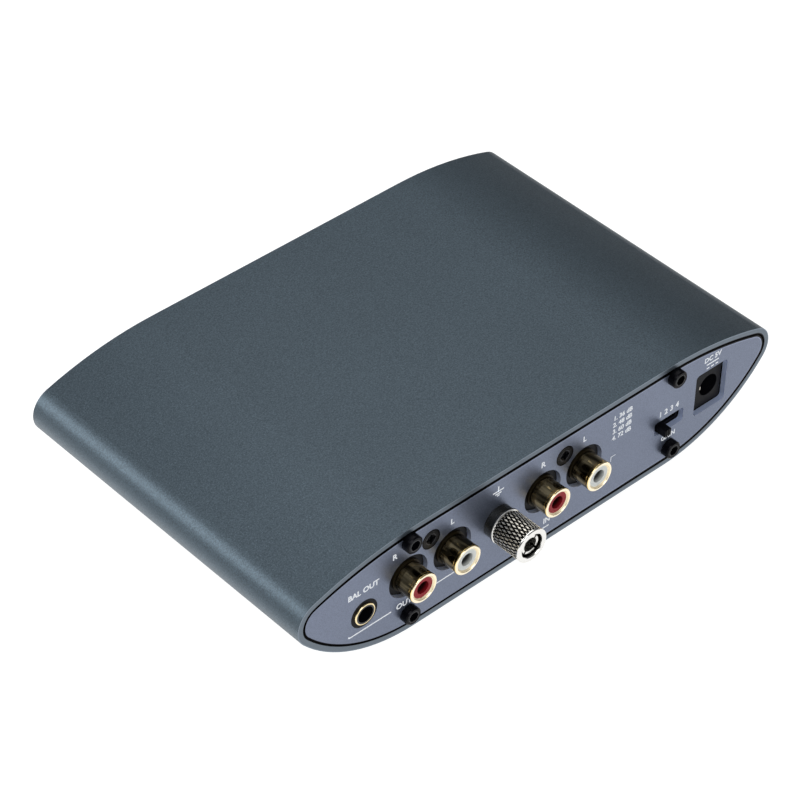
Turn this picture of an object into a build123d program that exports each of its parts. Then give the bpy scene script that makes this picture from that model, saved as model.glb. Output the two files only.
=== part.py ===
from build123d import *

import os

# A compact phono preamplifier, built as the separate pieces that it comes apart into.
# X runs to the right seen from the front, Y towards the rear sockets, Z up. The origin lies on the
# surface that the feet stand on, under the middle of the whole box. All sizes are in millimetres.

# ---------------------------------------------------------------------------------------------------
# Case: an extruded tube of lens-shaped section, open at the front and the rear
# ---------------------------------------------------------------------------------------------------
case_width = 158.0
case_depth = 99.4
case_rise = 11.9  # from the widest level up to the flat top
case_drop = 21.0  # from the widest level down to the flat bottom
top_flat_width = 83.4
bottom_flat_width = 85.4
side_edge_radius = 6.9
wall = 1.6
foot_height = 2.0
foot_radius = 5.5
foot_edge_radius = 0.6
foot_inset_x = 8.7  # from each side of the flat bottom to the middle of a foot
foot_inset_y = 14.0  # from each end of the case to the middle of a foot

# End panels, each in a mouth of the case with a soft seal round it
panel_thickness = 1.5
seal_width = 0.55
seal_recess = 0.35

# Screw channels inside the case, and the screws and pegs that go into them
channel_inset = 21.9  # from each side of the main board to the channels
channel_middle_x = 0.5
upper_channel_drop = 3.97  # from the case's top above them
lower_channel_rise = 5.6  # from the flat bottom
channel_radius = 2.9
channel_web = 3.2
screw_radius = 1.5
screw_length = 9.0
screw_head_radius = 2.45
screw_head_height = 2.15
screw_head_edge = 0.3
hex_across_flats = 2.5
hex_depth = 1.3
thread_gap = 0.05
screw_hole_gap = 0.25
peg_radius = 1.3
peg_length = 6.0

# Circuit board and the rails that hold its edges
board_lift = 1.1  # from the lower channels to the board
board_thickness = 1.6
board_edge_gap = 1.48  # from the case's inside to the board
board_slot_gap = 0.2
rail_thickness = 1.4
rail_reach = 2.4  # how far a rail laps over the board
board_rear_gap = 1.7  # from the rear panel's back to the board

# Phono sockets, in two pairs on one level
socket_pitch = 14.1
output_pair_offset = 6.95  # from the right channels to the middle of the pair
input_pair_offset = 50.85
socket_rise = 6.4  # from the board to the socket axes
socket_hole_radius = 6.1
housing_boss_gap = 0.4
housing_boss_recess = 1.0
housing_depth = 9.0
housing_side = 6.1  # from a socket's axis to the housing's side
housing_top = 6.0  # from a socket's axis to the housing's top
housing_rear_wall = 1.5
shell_radius = 4.1
shell_wall = 1.1
shell_seat_step = 0.2  # how far the part inside the housing is thinner than the barrel
shell_reach = 5.5
shell_rim_step = 0.05  # how far the rim stands proud of the barrel
shell_rim_length = 0.8
shell_rim_round = 0.35
shell_rim_bevel = 0.45
shell_groove_depth = 0.2
shell_groove_length = 0.25
shell_flange_step = 0.35
shell_flange_length = 0.55
shell_neck_depth = 0.25
shell_neck_length = 0.65
contact_radius = 2.1
contact_bore_radius = 1.65
contact_front = 3.0
contact_floor = 1.0
insulator_hole_radius = 1.8
pin_radius = 0.9
pin_gap = 0.05
tail_width = 1.8
tail_thickness = 0.5

# Countersunk screw between the sockets of each pair
jack_screw_rise = 7.45  # above the socket axes
jack_screw_radius = 1.5
jack_screw_head_radius = 2.85
jack_screw_length = 7.0
jack_screw_gap = 0.1
jack_tab_width = 6.6
jack_tab_rise = 2.8
cross_width = 0.6
cross_length = 3.0
cross_depth = 0.9

# Balanced socket
balanced_rail_gap = 0.25  # from its contacts to the case's rail
balanced_rise = 3.3  # from the board to its axis
balanced_bush_radius = 4.05
balanced_bush_gap = 0.05
balanced_board_gap = 0.2  # from its bush to the board's rear edge
balanced_bore_radius = 2.3
balanced_bore_depth = 19.5
balanced_ring_radius = 3.1
balanced_ring_reach = 0.5
balanced_ring_seat = 1.0
balanced_body_width = 9.0
balanced_body_height = 8.0
balanced_body_depth = 19.0
balanced_contact_width = 1.6
balanced_contact_height = 6.0
balanced_contact_thickness = 0.35
balanced_contact_pitch = 4.5
balanced_contact_count = 3

# Ground post
ground_offset = 28.7  # from the right channels
ground_rise = 6.4  # from the board to its axis
ground_collar_radius = 4.5
ground_collar_reach = 2.4
ground_bush_radius = 3.5
ground_bush_gap = 0.1
ground_stud_radius = 2.65
ground_stud_reach = 11.2
ground_stud_back = 9.0
ground_bore_radius = 2.0
ground_bore_depth = 17.0
ground_slot_width = 0.6
ground_slot_depth = 3.0
ground_thread_gap = 0.05
ground_washer_radius = 4.8
ground_washer_thickness = 0.55
ground_knob_radius = 4.75
ground_knob_reach = 12.0
ground_knob_ring_step = 0.05
ground_knob_ring_length = 1.2
ground_knob_round = 0.5
ground_mouth_radius = 3.35
ground_mouth_depth = 2.8
ground_lug_radius = 4.6
ground_lug_thickness = 0.5
ground_lug_width = 2.4
ground_nut_across_flats = 8.0
ground_nut_thickness = 3.0

# Gain switch
gain_slot_offset = 0.55  # from the left channels to the slot's middle
gain_lever_offset = 3.65  # from the left channels to the lever's first position
gain_slot_rise = 2.95  # from the board to the slot's middle
gain_slot_width = 10.3
gain_slot_height = 4.3
gain_slot_corner = 0.8
gain_travel = 6.0
gain_lever_width = 2.0
gain_lever_height = 2.2
gain_lever_reach = 2.8
gain_rib_count = 3
gain_rib_width = 0.25
gain_rib_depth = 0.2
gain_block_width = 4.0
gain_block_height = 3.2
gain_block_depth = 1.8
gain_slide_gap = 0.08
gain_cover_thickness = 0.6
gain_body_width = 17.0
gain_body_depth = 5.0
gain_body_top = 2.9  # from the slot's middle to the switch's top
gain_panel_gap = 0.2

# Power socket
power_rail_gap = 0.9  # from its body to the case's rail
power_jack_rise = 5.9  # from the board to its hole's axis
power_slot_gap_x = 1.15
power_slot_gap_z = 1.05
power_slot_shift = 0.35  # how far the slot's middle lies right of and above the body's middle
power_slot_corner = 1.1
power_jack_width = 9.0
power_jack_height = 11.0
power_jack_depth = 13.0
power_jack_recess = 1.2
power_jack_corner = 0.4
power_hole_radius = 3.15
power_hole_depth = 9.5
power_pin_radius = 1.0
power_pin_recess = 3.0
power_spring_width = 1.0
power_spring_thickness = 0.5
power_spring_lap = 0.2  # how far the spring stands into the hole
power_spring_recess = 0.3
power_spring_tip = 0.7  # how far its bent end stands into the hole

# Front board and what it carries
front_board_setback = 10.0  # from the front face to the board
front_board_inset = 10.2  # from each side of the main board
front_board_gap = 0.3  # from the screw channels above and below it
header_width = 24.0
header_height = 4.0
header_depth = 2.6

# Load dial and its switch
dial_x = 0.0
dial_rise = 5.3  # from the main board to its axis
dial_radius = 11.0
dial_reach = 5.6
dial_gap = 0.4
dial_edge = 0.6
dial_recess_radius = 7.0
dial_recess_depth = 1.9
dial_grip_count = 36
dial_grip_radius = 0.45
pointer_width = 0.9
pointer_length = 4.0
pointer_depth = 0.3
load_shaft_radius = 3.0
load_shaft_reach = 4.7
load_shaft_gap = 0.03
load_shaft_inside = 3.0  # how far the shaft goes into the switch
load_disc_lap = 1.0
load_disc_thickness = 1.0
load_bush_wall = 0.57
load_bush_reach = 2.1
load_bush_gap = 0.15
load_switch_width = 12.4
load_switch_depth = 6.5
load_nut_across_flats = 10.0
load_nut_thickness = 1.8

# Push buttons, one each side of the dial
button_inset = 6.0  # from each side of the front board
button_radius = 3.0
button_reach = 1.2
button_edge = 0.4
button_gap = 0.1
button_travel = 0.7
button_flange_step = 0.9
button_flange_thickness = 0.8
button_stem_radius = 2.0
switch_size = 6.0
switch_depth = 3.5
plunger_radius = 1.7
plunger_reach = 1.2
plunger_inside = 0.9
plunger_gap = 0.05

# Indicator lights: one beside the power button, one for each gain position
power_light_offset = 9.0  # from the power button
gain_light_offset = 21.0  # from the dial's axis to the first
gain_light_pitch = 5.0
gain_light_count = 4
light_guide_radius = 0.9
light_guide_gap = 0.05
light_size = 1.6
light_thickness = 0.8

# Parts on the main board
film_cap_size = (7.2, 2.6, 6.5)
film_cap_pitch = 5.2
film_cap_rows = 2
film_cap_columns = 3
can_cap_radius = 4.0
can_cap_height = 10.5
can_cap_pitch = 10.0
can_cap_count = 4
can_cap_edge = 0.5
chip_size = (5.0, 4.0, 1.5)
chip_pitch = 9.0
chip_count = 4
shield_size = (26.0, 20.0, 4.0)
shield_corner = 1.2
inductor_size = (7.0, 7.0, 3.2)
relay_size = (10.0, 7.4, 5.6)
relay_pitch = 14.1
controller_size = (7.0, 7.0, 1.0)
amplifier_setback = 26.0  # from the rear face to the amplifier chips
supply_setback = 24.0  # from the board's front edge to the supply parts
part_spacing = 2.0  # between neighbouring parts

# ---------------------------------------------------------------------------------------------------
# Levels and faces worked out from the sizes above. Heights are from the case's widest level.
# ---------------------------------------------------------------------------------------------------
def side_curve(side, height, flat_width):
    """Centre and outer radius of the case's curve from the edge of a flat to the rounded side edge."""
    across = (case_width - flat_width) / 2 - side_edge_radius
    radius = (across**2 + height**2 - side_edge_radius**2) / (2 * (height - side_edge_radius))
    return Vector(flat_width / 2, side * (height - radius)), radius


def outer_height(x):
    """Height of the case's top at distance x from its middle, short of its side edges."""
    centre, radius = side_curve(1, case_rise, top_flat_width)
    return centre.Y + (radius**2 - max(x - centre.X, 0) ** 2) ** 0.5


def inner_half_width(z):
    """Half the clear width inside the case at height z, below its side edges."""
    centre, radius = side_curve(-1, case_drop, bottom_flat_width)
    return centre.X + ((radius - wall) ** 2 - (z - centre.Y) ** 2) ** 0.5


widest_z = foot_height + case_drop
rear_face = (case_depth + dial_reach - ground_knob_reach) / 2
front_face = rear_face - case_depth
panel_inset = wall + seal_width
lower_channel_z = lower_channel_rise - case_drop
board_underside = lower_channel_z + channel_radius + board_lift
board_top = board_underside + board_thickness
board_half_width = inner_half_width(board_underside) - board_edge_gap
channel_half_spacing = board_half_width - channel_inset
upper_channel_z = outer_height(channel_half_spacing) - upper_channel_drop
board_rear = rear_face - panel_thickness - board_rear_gap
front_board_face = front_face + front_board_setback
board_front = front_board_face + board_thickness
rail_inner_x = board_half_width - rail_reach
left_channel_x = channel_middle_x - channel_half_spacing
right_channel_x = channel_middle_x + channel_half_spacing
channel_points = [
    (x, z) for x in (left_channel_x, right_channel_x) for z in (upper_channel_z, lower_channel_z)
]
socket_z = board_top + socket_rise
output_pair_x = right_channel_x - output_pair_offset
input_pair_x = right_channel_x - input_pair_offset
pair_middles = {"output": output_pair_x, "input": input_pair_x}
sockets = {
    f"{pair}_{name}": middle + side * socket_pitch / 2
    for pair, middle in pair_middles.items()
    for name, side in (("right", 1), ("left", -1))
}
jack_screw_points = [(middle, socket_z + jack_screw_rise) for middle in pair_middles.values()]
ground_point = (right_channel_x - ground_offset, board_top + ground_rise)
balanced_side_x = balanced_body_width / 2 + balanced_contact_thickness
balanced_point = (rail_inner_x - balanced_rail_gap - balanced_side_x, board_top + balanced_rise)
gain_slot_x = left_channel_x + gain_slot_offset
gain_slot_z = board_top + gain_slot_rise
gain_lever_x = left_channel_x + gain_lever_offset
gain_body_x = gain_lever_x - gain_travel / 2
power_jack_x = power_rail_gap + power_jack_width / 2 - rail_inner_x
power_jack_z = board_top + power_jack_rise
power_body_z = board_top + power_jack_height / 2
dial_z = board_top + dial_rise
front_board_half_width = board_half_width - front_board_inset
button_x = front_board_half_width - button_inset
buttons = {"power": -button_x, "filter": button_x}
light_points = [(power_light_offset - button_x, dial_z)]
light_points += [
    (dial_x + gain_light_offset + step * gain_light_pitch, dial_z) for step in range(gain_light_count)
]
load_bush_radius = load_shaft_radius + load_shaft_gap + load_bush_wall


def upright(y):
    """The upright plane at depth y: X across, Z up from the widest level, extruding to the front."""
    return Plane(origin=(0, y, widest_z), x_dir=(1, 0, 0), z_dir=(0, -1, 0))


def behind(reach):
    """The upright plane that stands reach out from the rear panel's face."""
    return upright(rear_face + reach)


def inside_front(depth):
    """The upright plane that lies depth behind the front panel's face."""
    return upright(front_face + depth)


def level(z):
    """The level plane at height z from the widest level."""
    return Plane.XY.offset(widest_z + z)


def turning_plane(x, z):
    """Plane of a turned part on the rear panel: local x runs out along its axis, local y is radius."""
    return Plane(origin=(x, rear_face, widest_z + z), x_dir=(0, 1, 0), z_dir=(1, 0, 0))


def turning_axis(x, z):
    """Axis of a turned part, along Y."""
    return Axis((x, rear_face, widest_z + z), (0, 1, 0))


def short_arc(centre, radius, start, end):
    """The arc about centre from start to end, the short way round."""
    middle = centre + ((start - centre) + (end - centre)).normalized() * radius
    return ThreePointArc(start, middle, end)


def lens_face(inset=0.0):
    """The case's section about its widest level, moved inwards by inset all round."""
    edge_centre = Vector(case_width / 2 - side_edge_radius, 0)
    edge_ends = []
    with BuildSketch() as section:
        with BuildLine():
            for side, height, flat_width in (
                (1, case_rise, top_flat_width),
                (-1, case_drop, bottom_flat_width),
            ):
                centre, outer_radius = side_curve(side, height, flat_width)
                radius = outer_radius - inset
                flat_z = side * (height - inset)
                flat_end = Vector(flat_width / 2, flat_z)
                edge_end = centre + (edge_centre - centre).normalized() * radius
                Line((0, flat_z), flat_end)
                short_arc(centre, radius, flat_end, edge_end)
                edge_ends.append(edge_end)
            short_arc(edge_centre, side_edge_radius - inset, *edge_ends)
            mirror(about=Plane.YZ)
        make_face()
    return section.sketch


def front_rims():
    """The round edges at the outermost end of the part being made, the smallest first."""
    return edges().filter_by(GeomType.CIRCLE).group_by(Axis.Y)[-1].sort_by(SortBy.RADIUS)


def finish(piece, name):
    """Label a finished piece and write it to its own file."""
    piece.part.label = name
    export_step(piece.part, f"parts/{name}.step")


os.makedirs("parts", exist_ok=True)

# ---------------------------------------------------------------------------------------------------
# Case
# ---------------------------------------------------------------------------------------------------
upper_rail_z = board_top + board_slot_gap + rail_thickness / 2
lower_rail_z = board_underside - rail_thickness / 2
rail_length = case_width / 2 - rail_inner_x
lower_web_height = case_drop + lower_channel_z

with BuildPart() as case_sleeve:
    with BuildSketch(upright(rear_face)):
        add(lens_face())
    extrude(amount=case_depth)
    with BuildSketch(upright(rear_face)):
        add(lens_face(wall))
        with Locations(*channel_points):
            Circle(channel_radius, mode=Mode.SUBTRACT)
        with Locations(*[(x, z - lower_web_height / 2) for x, z in channel_points if z < 0]):
            Rectangle(channel_web, lower_web_height, mode=Mode.SUBTRACT)
        with Locations(
            *[
                (side * (rail_inner_x + rail_length / 2), z)
                for side in (-1, 1)
                for z in (upper_rail_z, lower_rail_z)
            ]
        ):
            Rectangle(rail_length, rail_thickness, mode=Mode.SUBTRACT)
    extrude(amount=case_depth, mode=Mode.SUBTRACT)
    # the channels and rails stop short of both mouths, so that the panels seat on their ends
    for mouth in (upright(rear_face), inside_front(panel_thickness)):
        with BuildSketch(mouth):
            add(lens_face(wall))
        extrude(amount=panel_thickness, mode=Mode.SUBTRACT)
    with BuildSketch(upright(rear_face)):
        with Locations(*channel_points):
            Circle(screw_radius + thread_gap)
    extrude(amount=case_depth, mode=Mode.SUBTRACT)
finish(case_sleeve, "case_sleeve")

with BuildPart() as rear_panel:
    with BuildSketch(behind(0)):
        add(lens_face(panel_inset))
        with Locations(*[(x, socket_z) for x in sockets.values()]):
            Circle(socket_hole_radius, mode=Mode.SUBTRACT)
        with Locations(balanced_point):
            Circle(balanced_bush_radius + balanced_bush_gap, mode=Mode.SUBTRACT)
        with Locations(ground_point):
            Circle(ground_bush_radius + ground_bush_gap, mode=Mode.SUBTRACT)
        with Locations((gain_slot_x, gain_slot_z)):
            RectangleRounded(gain_slot_width, gain_slot_height, gain_slot_corner, mode=Mode.SUBTRACT)
        with Locations((power_jack_x + power_slot_shift, power_body_z + power_slot_shift)):
            RectangleRounded(
                power_jack_width + 2 * power_slot_gap_x,
                power_jack_height + 2 * power_slot_gap_z,
                power_slot_corner,
                mode=Mode.SUBTRACT,
            )
        with Locations(*channel_points):
            Circle(screw_radius + screw_hole_gap, mode=Mode.SUBTRACT)
    extrude(amount=panel_thickness)
    with Locations(*[Plane((x, rear_face, widest_z + z), z_dir=(0, 1, 0)) for x, z in jack_screw_points]):
        CounterSinkHole(
            jack_screw_radius + jack_screw_gap,
            jack_screw_head_radius,
            panel_thickness,
            counter_sink_angle=90,
        )
finish(rear_panel, "rear_panel")

with BuildPart() as front_panel:
    with BuildSketch(inside_front(panel_thickness)):
        add(lens_face(panel_inset))
        with Locations((dial_x, dial_z)):
            Circle(load_bush_radius + load_bush_gap, mode=Mode.SUBTRACT)
        with Locations(*[(x, dial_z) for x in buttons.values()]):
            Circle(button_radius + button_gap, mode=Mode.SUBTRACT)
        with Locations(*light_points):
            Circle(light_guide_radius + light_guide_gap, mode=Mode.SUBTRACT)
    extrude(amount=panel_thickness)
    # pegs on its back go into the case's screw channels
    with BuildSketch(inside_front(panel_thickness + peg_length)):
        with Locations(*channel_points):
            Circle(peg_radius)
    extrude(amount=peg_length)
finish(front_panel, "front_panel")

seal_faces = {"rear_seal": rear_face - seal_recess, "front_seal": front_face + panel_thickness}
for seal_name, seal_face in seal_faces.items():
    with BuildPart() as seal:
        with BuildSketch(upright(seal_face)):
            add(lens_face(wall))
            add(lens_face(panel_inset), mode=Mode.SUBTRACT)
        extrude(amount=panel_thickness - seal_recess)
    finish(seal, seal_name)

with BuildPart() as rear_panel_screws:
    with BuildSketch(behind(screw_head_height)):
        with Locations(*channel_points):
            Circle(screw_head_radius)
    extrude(amount=screw_head_height)
    chamfer(edges().group_by(Axis.Y)[-1], screw_head_edge)
    with BuildSketch(behind(0)):
        with Locations(*channel_points):
            Circle(screw_radius)
    extrude(amount=screw_length)
    with BuildSketch(behind(screw_head_height)):
        with Locations(*channel_points):
            RegularPolygon(hex_across_flats / 2, 6, major_radius=False)
    extrude(amount=hex_depth, mode=Mode.SUBTRACT)
finish(rear_panel_screws, "rear_panel_screws")

with BuildPart() as rubber_feet:
    with BuildSketch(Plane.XY):
        with Locations((0, (rear_face + front_face) / 2)):
            with GridLocations(
                bottom_flat_width - 2 * foot_inset_x, case_depth - 2 * foot_inset_y, 2, 2
            ):
                Circle(foot_radius)
    extrude(amount=foot_height)
    fillet(edges().group_by(Axis.Z)[0], foot_edge_radius)
finish(rubber_feet, "rubber_feet")

# ---------------------------------------------------------------------------------------------------
# Main board and what it carries
# ---------------------------------------------------------------------------------------------------
with BuildPart() as main_board:
    with BuildSketch(level(board_underside)):
        with Locations((0, (board_rear + board_front) / 2)):
            Rectangle(2 * board_half_width, board_rear - board_front)
    extrude(amount=board_thickness)
finish(main_board, "main_board")


def blocks_on_board(size, points):
    """Plain blocks of one size that stand on the main board at the given points."""
    length, width, height = size
    with BuildPart() as blocks:
        with BuildSketch(level(board_top)):
            with Locations(*points):
                Rectangle(length, width)
        extrude(amount=height)
    return blocks


amplifier_y = rear_face - amplifier_setback
film_cap_y = amplifier_y - chip_size[1] - film_cap_size[1] - part_spacing
supply_y = board_front + supply_setback
shield_x = power_jack_x + (shield_size[0] - power_jack_width) / 2
film_cap_points = [
    (
        middle + (column - (film_cap_columns - 1) / 2) * (film_cap_size[0] + part_spacing),
        film_cap_y - row * film_cap_pitch,
    )
    for middle in pair_middles.values()
    for column in range(film_cap_columns)
    for row in range(film_cap_rows)
]
chip_points = [
    (ground_point[0] + (step - (chip_count - 1) / 2) * chip_pitch, amplifier_y) for step in range(chip_count)
]
can_cap_points = [
    (ground_point[0] + (step - (can_cap_count - 1) / 2) * can_cap_pitch, supply_y)
    for step in range(can_cap_count)
]
shield_point = (shield_x, supply_y)
inductor_point = (shield_x, supply_y + (shield_size[1] + inductor_size[1]) / 2 + part_spacing)
relay_y = amplifier_y + (chip_size[1] + relay_size[1]) / 2 + part_spacing
relay_points = [(output_pair_x + side * relay_pitch / 2, relay_y) for side in (-1, 1)]
controller_point = (input_pair_x - controller_size[0], supply_y)

finish(blocks_on_board(film_cap_size, film_cap_points), "film_capacitors")
finish(blocks_on_board(chip_size, chip_points), "amplifier_chips")
finish(blocks_on_board(inductor_size, [inductor_point]), "power_inductor")
finish(blocks_on_board(relay_size, relay_points), "mute_relays")
finish(blocks_on_board(controller_size, [controller_point]), "control_chip")

with BuildPart() as supply_capacitors:
    with BuildSketch(level(board_top)):
        with Locations(*can_cap_points):
            Circle(can_cap_radius)
    extrude(amount=can_cap_height)
    fillet(edges().group_by(Axis.Z)[-1], can_cap_edge)
finish(supply_capacitors, "supply_capacitors")

with BuildPart() as power_shield:
    with BuildSketch(level(board_top)):
        with Locations(shield_point):
            RectangleRounded(shield_size[0], shield_size[1], shield_corner)
    extrude(amount=shield_size[2])
finish(power_shield, "power_shield")

# ---------------------------------------------------------------------------------------------------
# Phono sockets
# ---------------------------------------------------------------------------------------------------
housing_back = panel_thickness + housing_depth
housing_height = housing_top + socket_z - board_top
housing_width = socket_pitch + 2 * housing_side
housing_middle_z = board_top + housing_height / 2
tab_top = socket_z + jack_screw_rise + jack_tab_rise
tab_height = tab_top - (socket_z + housing_top)
shell_back = housing_back - housing_rear_wall
shell_inner_radius = shell_radius - shell_wall
shell_seat_radius = shell_radius - shell_seat_step
shell_flange_radius = shell_radius + shell_flange_step
shell_neck_radius = shell_radius - shell_neck_depth
shell_groove_radius = shell_radius - shell_groove_depth
shell_rim_radius = shell_radius + shell_rim_step
flange_front = -housing_boss_recess + shell_flange_length
neck_front = flange_front + shell_neck_length
rim_back = shell_reach - shell_rim_length
groove_back = rim_back - shell_groove_length
insulator_front = shell_reach - shell_rim_bevel


def socket_housing(middle):
    """Moulded block behind the rear panel that holds one pair of phono sockets."""
    pair = [(middle + side * socket_pitch / 2, socket_z) for side in (-1, 1)]
    with BuildPart() as housing:
        with BuildSketch(behind(-panel_thickness)):
            with Locations((middle, housing_middle_z)):
                Rectangle(housing_width, housing_height)
            with Locations((middle, tab_top - tab_height / 2)):
                Rectangle(jack_tab_width, tab_height)
        extrude(amount=housing_depth)
        # a boss round each socket stands in the panel's hole
        with BuildSketch(behind(-housing_boss_recess)):
            with Locations(*pair):
                Circle(socket_hole_radius - housing_boss_gap)
        extrude(amount=panel_thickness - housing_boss_recess)
        with BuildSketch(behind(-housing_boss_recess)):
            with Locations(*pair):
                Circle(shell_seat_radius)
        extrude(amount=shell_back - housing_boss_recess, mode=Mode.SUBTRACT)
        with BuildSketch(behind(-shell_back)):
            with Locations(*pair):
                Circle(pin_radius + pin_gap)
        extrude(amount=housing_rear_wall, mode=Mode.SUBTRACT)
        with BuildSketch(behind(-panel_thickness)):
            with Locations((middle, socket_z + jack_screw_rise)):
                Circle(jack_screw_radius + thread_gap)
        extrude(amount=housing_depth, mode=Mode.SUBTRACT)
    return housing


def socket_shell(x):
    """Turned outer contact that a plug's collar grips."""
    outline = [
        (-shell_back, shell_inner_radius),
        (-shell_back, shell_seat_radius),
        (-housing_boss_recess, shell_seat_radius),
        (-housing_boss_recess, shell_flange_radius),
        (flange_front, shell_flange_radius),
        (flange_front, shell_neck_radius),
        (neck_front, shell_neck_radius),
        (neck_front, shell_radius),
        (groove_back, shell_radius),
        (groove_back, shell_groove_radius),
        (rim_back, shell_groove_radius),
        (rim_back, shell_rim_radius),
        (shell_reach, shell_rim_radius),
        (shell_reach, shell_inner_radius),
    ]
    with BuildPart() as shell:
        with BuildSketch(turning_plane(x, socket_z)):
            with BuildLine():
                Polyline(*outline, close=True)
            make_face()
        revolve(axis=turning_axis(x, socket_z))
        chamfer(front_rims()[0], shell_rim_bevel)
        fillet(front_rims()[-1], shell_rim_round)
    return shell


def socket_insulator(x):
    """Coloured sleeve between the outer and the centre contact."""
    outline = [
        (-shell_back, contact_radius),
        (-shell_back, shell_inner_radius),
        (insulator_front, shell_inner_radius),
        (insulator_front, insulator_hole_radius),
        (contact_front, insulator_hole_radius),
        (contact_front, contact_radius),
    ]
    with BuildPart() as insulator:
        with BuildSketch(turning_plane(x, socket_z)):
            with BuildLine():
                Polyline(*outline, close=True)
            make_face()
        revolve(axis=turning_axis(x, socket_z))
    return insulator


def socket_contact(x):
    """Centre contact: a tube for the plug's pin, with a tail that runs down to the board."""
    tail_height = socket_z + pin_radius - board_top
    with BuildPart() as contact:
        with BuildSketch(behind(contact_front)):
            with Locations((x, socket_z)):
                Circle(contact_radius)
        extrude(amount=contact_front + shell_back)
        with BuildSketch(behind(contact_front)):
            with Locations((x, socket_z)):
                Circle(contact_bore_radius)
        extrude(amount=contact_front + shell_back - contact_floor, mode=Mode.SUBTRACT)
        with BuildSketch(behind(-shell_back)):
            with Locations((x, socket_z)):
                Circle(pin_radius)
        extrude(amount=housing_rear_wall)
        with BuildSketch(behind(-housing_back)):
            with Locations((x, board_top + tail_height / 2)):
                Rectangle(tail_width, tail_height)
        extrude(amount=tail_thickness)
    return contact


for pair_name, pair_middle in pair_middles.items():
    finish(socket_housing(pair_middle), f"{pair_name}_socket_housing")
for socket_name, socket_x in sockets.items():
    finish(socket_shell(socket_x), f"{socket_name}_shell")
    finish(socket_insulator(socket_x), f"{socket_name}_insulator")
    finish(socket_contact(socket_x), f"{socket_name}_contact")

with BuildPart() as jack_screws:
    head_depth = jack_screw_head_radius - jack_screw_radius
    with BuildSketch(behind(0)):
        with Locations(*jack_screw_points):
            Circle(jack_screw_head_radius)
    extrude(amount=head_depth, taper=45)
    with BuildSketch(behind(0)):
        with Locations(*jack_screw_points):
            Circle(jack_screw_radius)
    extrude(amount=jack_screw_length)
    with BuildSketch(behind(0)):
        with Locations(*jack_screw_points):
            with Locations((0, 0, 0)):
                Rectangle(cross_length, cross_width)
                Rectangle(cross_width, cross_length)
    extrude(amount=cross_depth, mode=Mode.SUBTRACT)
finish(jack_screws, "jack_screws")

# ---------------------------------------------------------------------------------------------------
# Balanced socket
# ---------------------------------------------------------------------------------------------------
balanced_bush_length = panel_thickness + board_rear_gap - balanced_board_gap
balanced_body_point = (balanced_point[0], board_top + balanced_body_height / 2)

with BuildPart() as balanced_socket_body:
    with BuildSketch(behind(-balanced_bush_length)):
        with Locations(balanced_body_point):
            Rectangle(balanced_body_width, balanced_body_height)
    extrude(amount=balanced_body_depth)
    with BuildSketch(behind(0)):
        with Locations(balanced_point):
            Circle(balanced_bush_radius)
    extrude(amount=balanced_bush_length)
    with BuildSketch(behind(0)):
        with Locations(balanced_point):
            Circle(balanced_bore_radius)
    extrude(amount=balanced_bore_depth, mode=Mode.SUBTRACT)
    with BuildSketch(behind(0)):
        with Locations(balanced_point):
            Circle(balanced_ring_radius)
    extrude(amount=balanced_ring_seat, mode=Mode.SUBTRACT)
finish(balanced_socket_body, "balanced_socket_body")

with BuildPart() as balanced_socket_ring:
    with BuildSketch(behind(balanced_ring_reach)):
        with Locations(balanced_point):
            Circle(balanced_ring_radius)
            Circle(balanced_bore_radius, mode=Mode.SUBTRACT)
    extrude(amount=balanced_ring_reach + balanced_ring_seat)
    fillet(front_rims()[-1], balanced_ring_reach / 2)
finish(balanced_socket_ring, "balanced_socket_ring")

with BuildPart() as balanced_contacts:
    contact_middle_y = rear_face - balanced_bush_length - balanced_body_depth / 2
    contact_spacing_x = balanced_body_width + balanced_contact_thickness
    with BuildSketch(level(board_top)):
        with Locations((balanced_point[0], contact_middle_y)):
            with GridLocations(contact_spacing_x, balanced_contact_pitch, 2, balanced_contact_count):
                Rectangle(balanced_contact_thickness, balanced_contact_width)
    extrude(amount=balanced_contact_height)
finish(balanced_contacts, "balanced_contacts")

# ---------------------------------------------------------------------------------------------------
# Ground post
# ---------------------------------------------------------------------------------------------------
ground_x, ground_z = ground_point
ground_knob_ring_radius = ground_knob_radius + ground_knob_ring_step
lug_back = panel_thickness + ground_lug_thickness

with BuildPart() as ground_collar:
    with BuildSketch(behind(ground_collar_reach)):
        with Locations(ground_point):
            Circle(ground_collar_radius)
    extrude(amount=ground_collar_reach)
    with BuildSketch(behind(0)):
        with Locations(ground_point):
            Circle(ground_bush_radius)
    extrude(amount=panel_thickness)
    with BuildSketch(behind(ground_collar_reach)):
        with Locations(ground_point):
            Circle(ground_stud_radius)
    extrude(amount=ground_collar_reach + panel_thickness, mode=Mode.SUBTRACT)
finish(ground_collar, "ground_collar")

with BuildPart() as ground_stud:
    with BuildSketch(behind(ground_stud_reach)):
        with Locations(ground_point):
            Circle(ground_stud_radius)
    extrude(amount=ground_stud_reach + ground_stud_back)
    with BuildSketch(behind(ground_stud_reach)):
        with Locations(ground_point):
            Circle(ground_bore_radius)
    extrude(amount=ground_bore_depth, mode=Mode.SUBTRACT)
    # crossed slots let its end grip a plug
    with BuildSketch(behind(ground_stud_reach)):
        with Locations(ground_point):
            Rectangle(3 * ground_stud_radius, ground_slot_width, rotation=45)
            Rectangle(3 * ground_stud_radius, ground_slot_width, rotation=-45)
    extrude(amount=ground_slot_depth, mode=Mode.SUBTRACT)
finish(ground_stud, "ground_stud")

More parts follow.
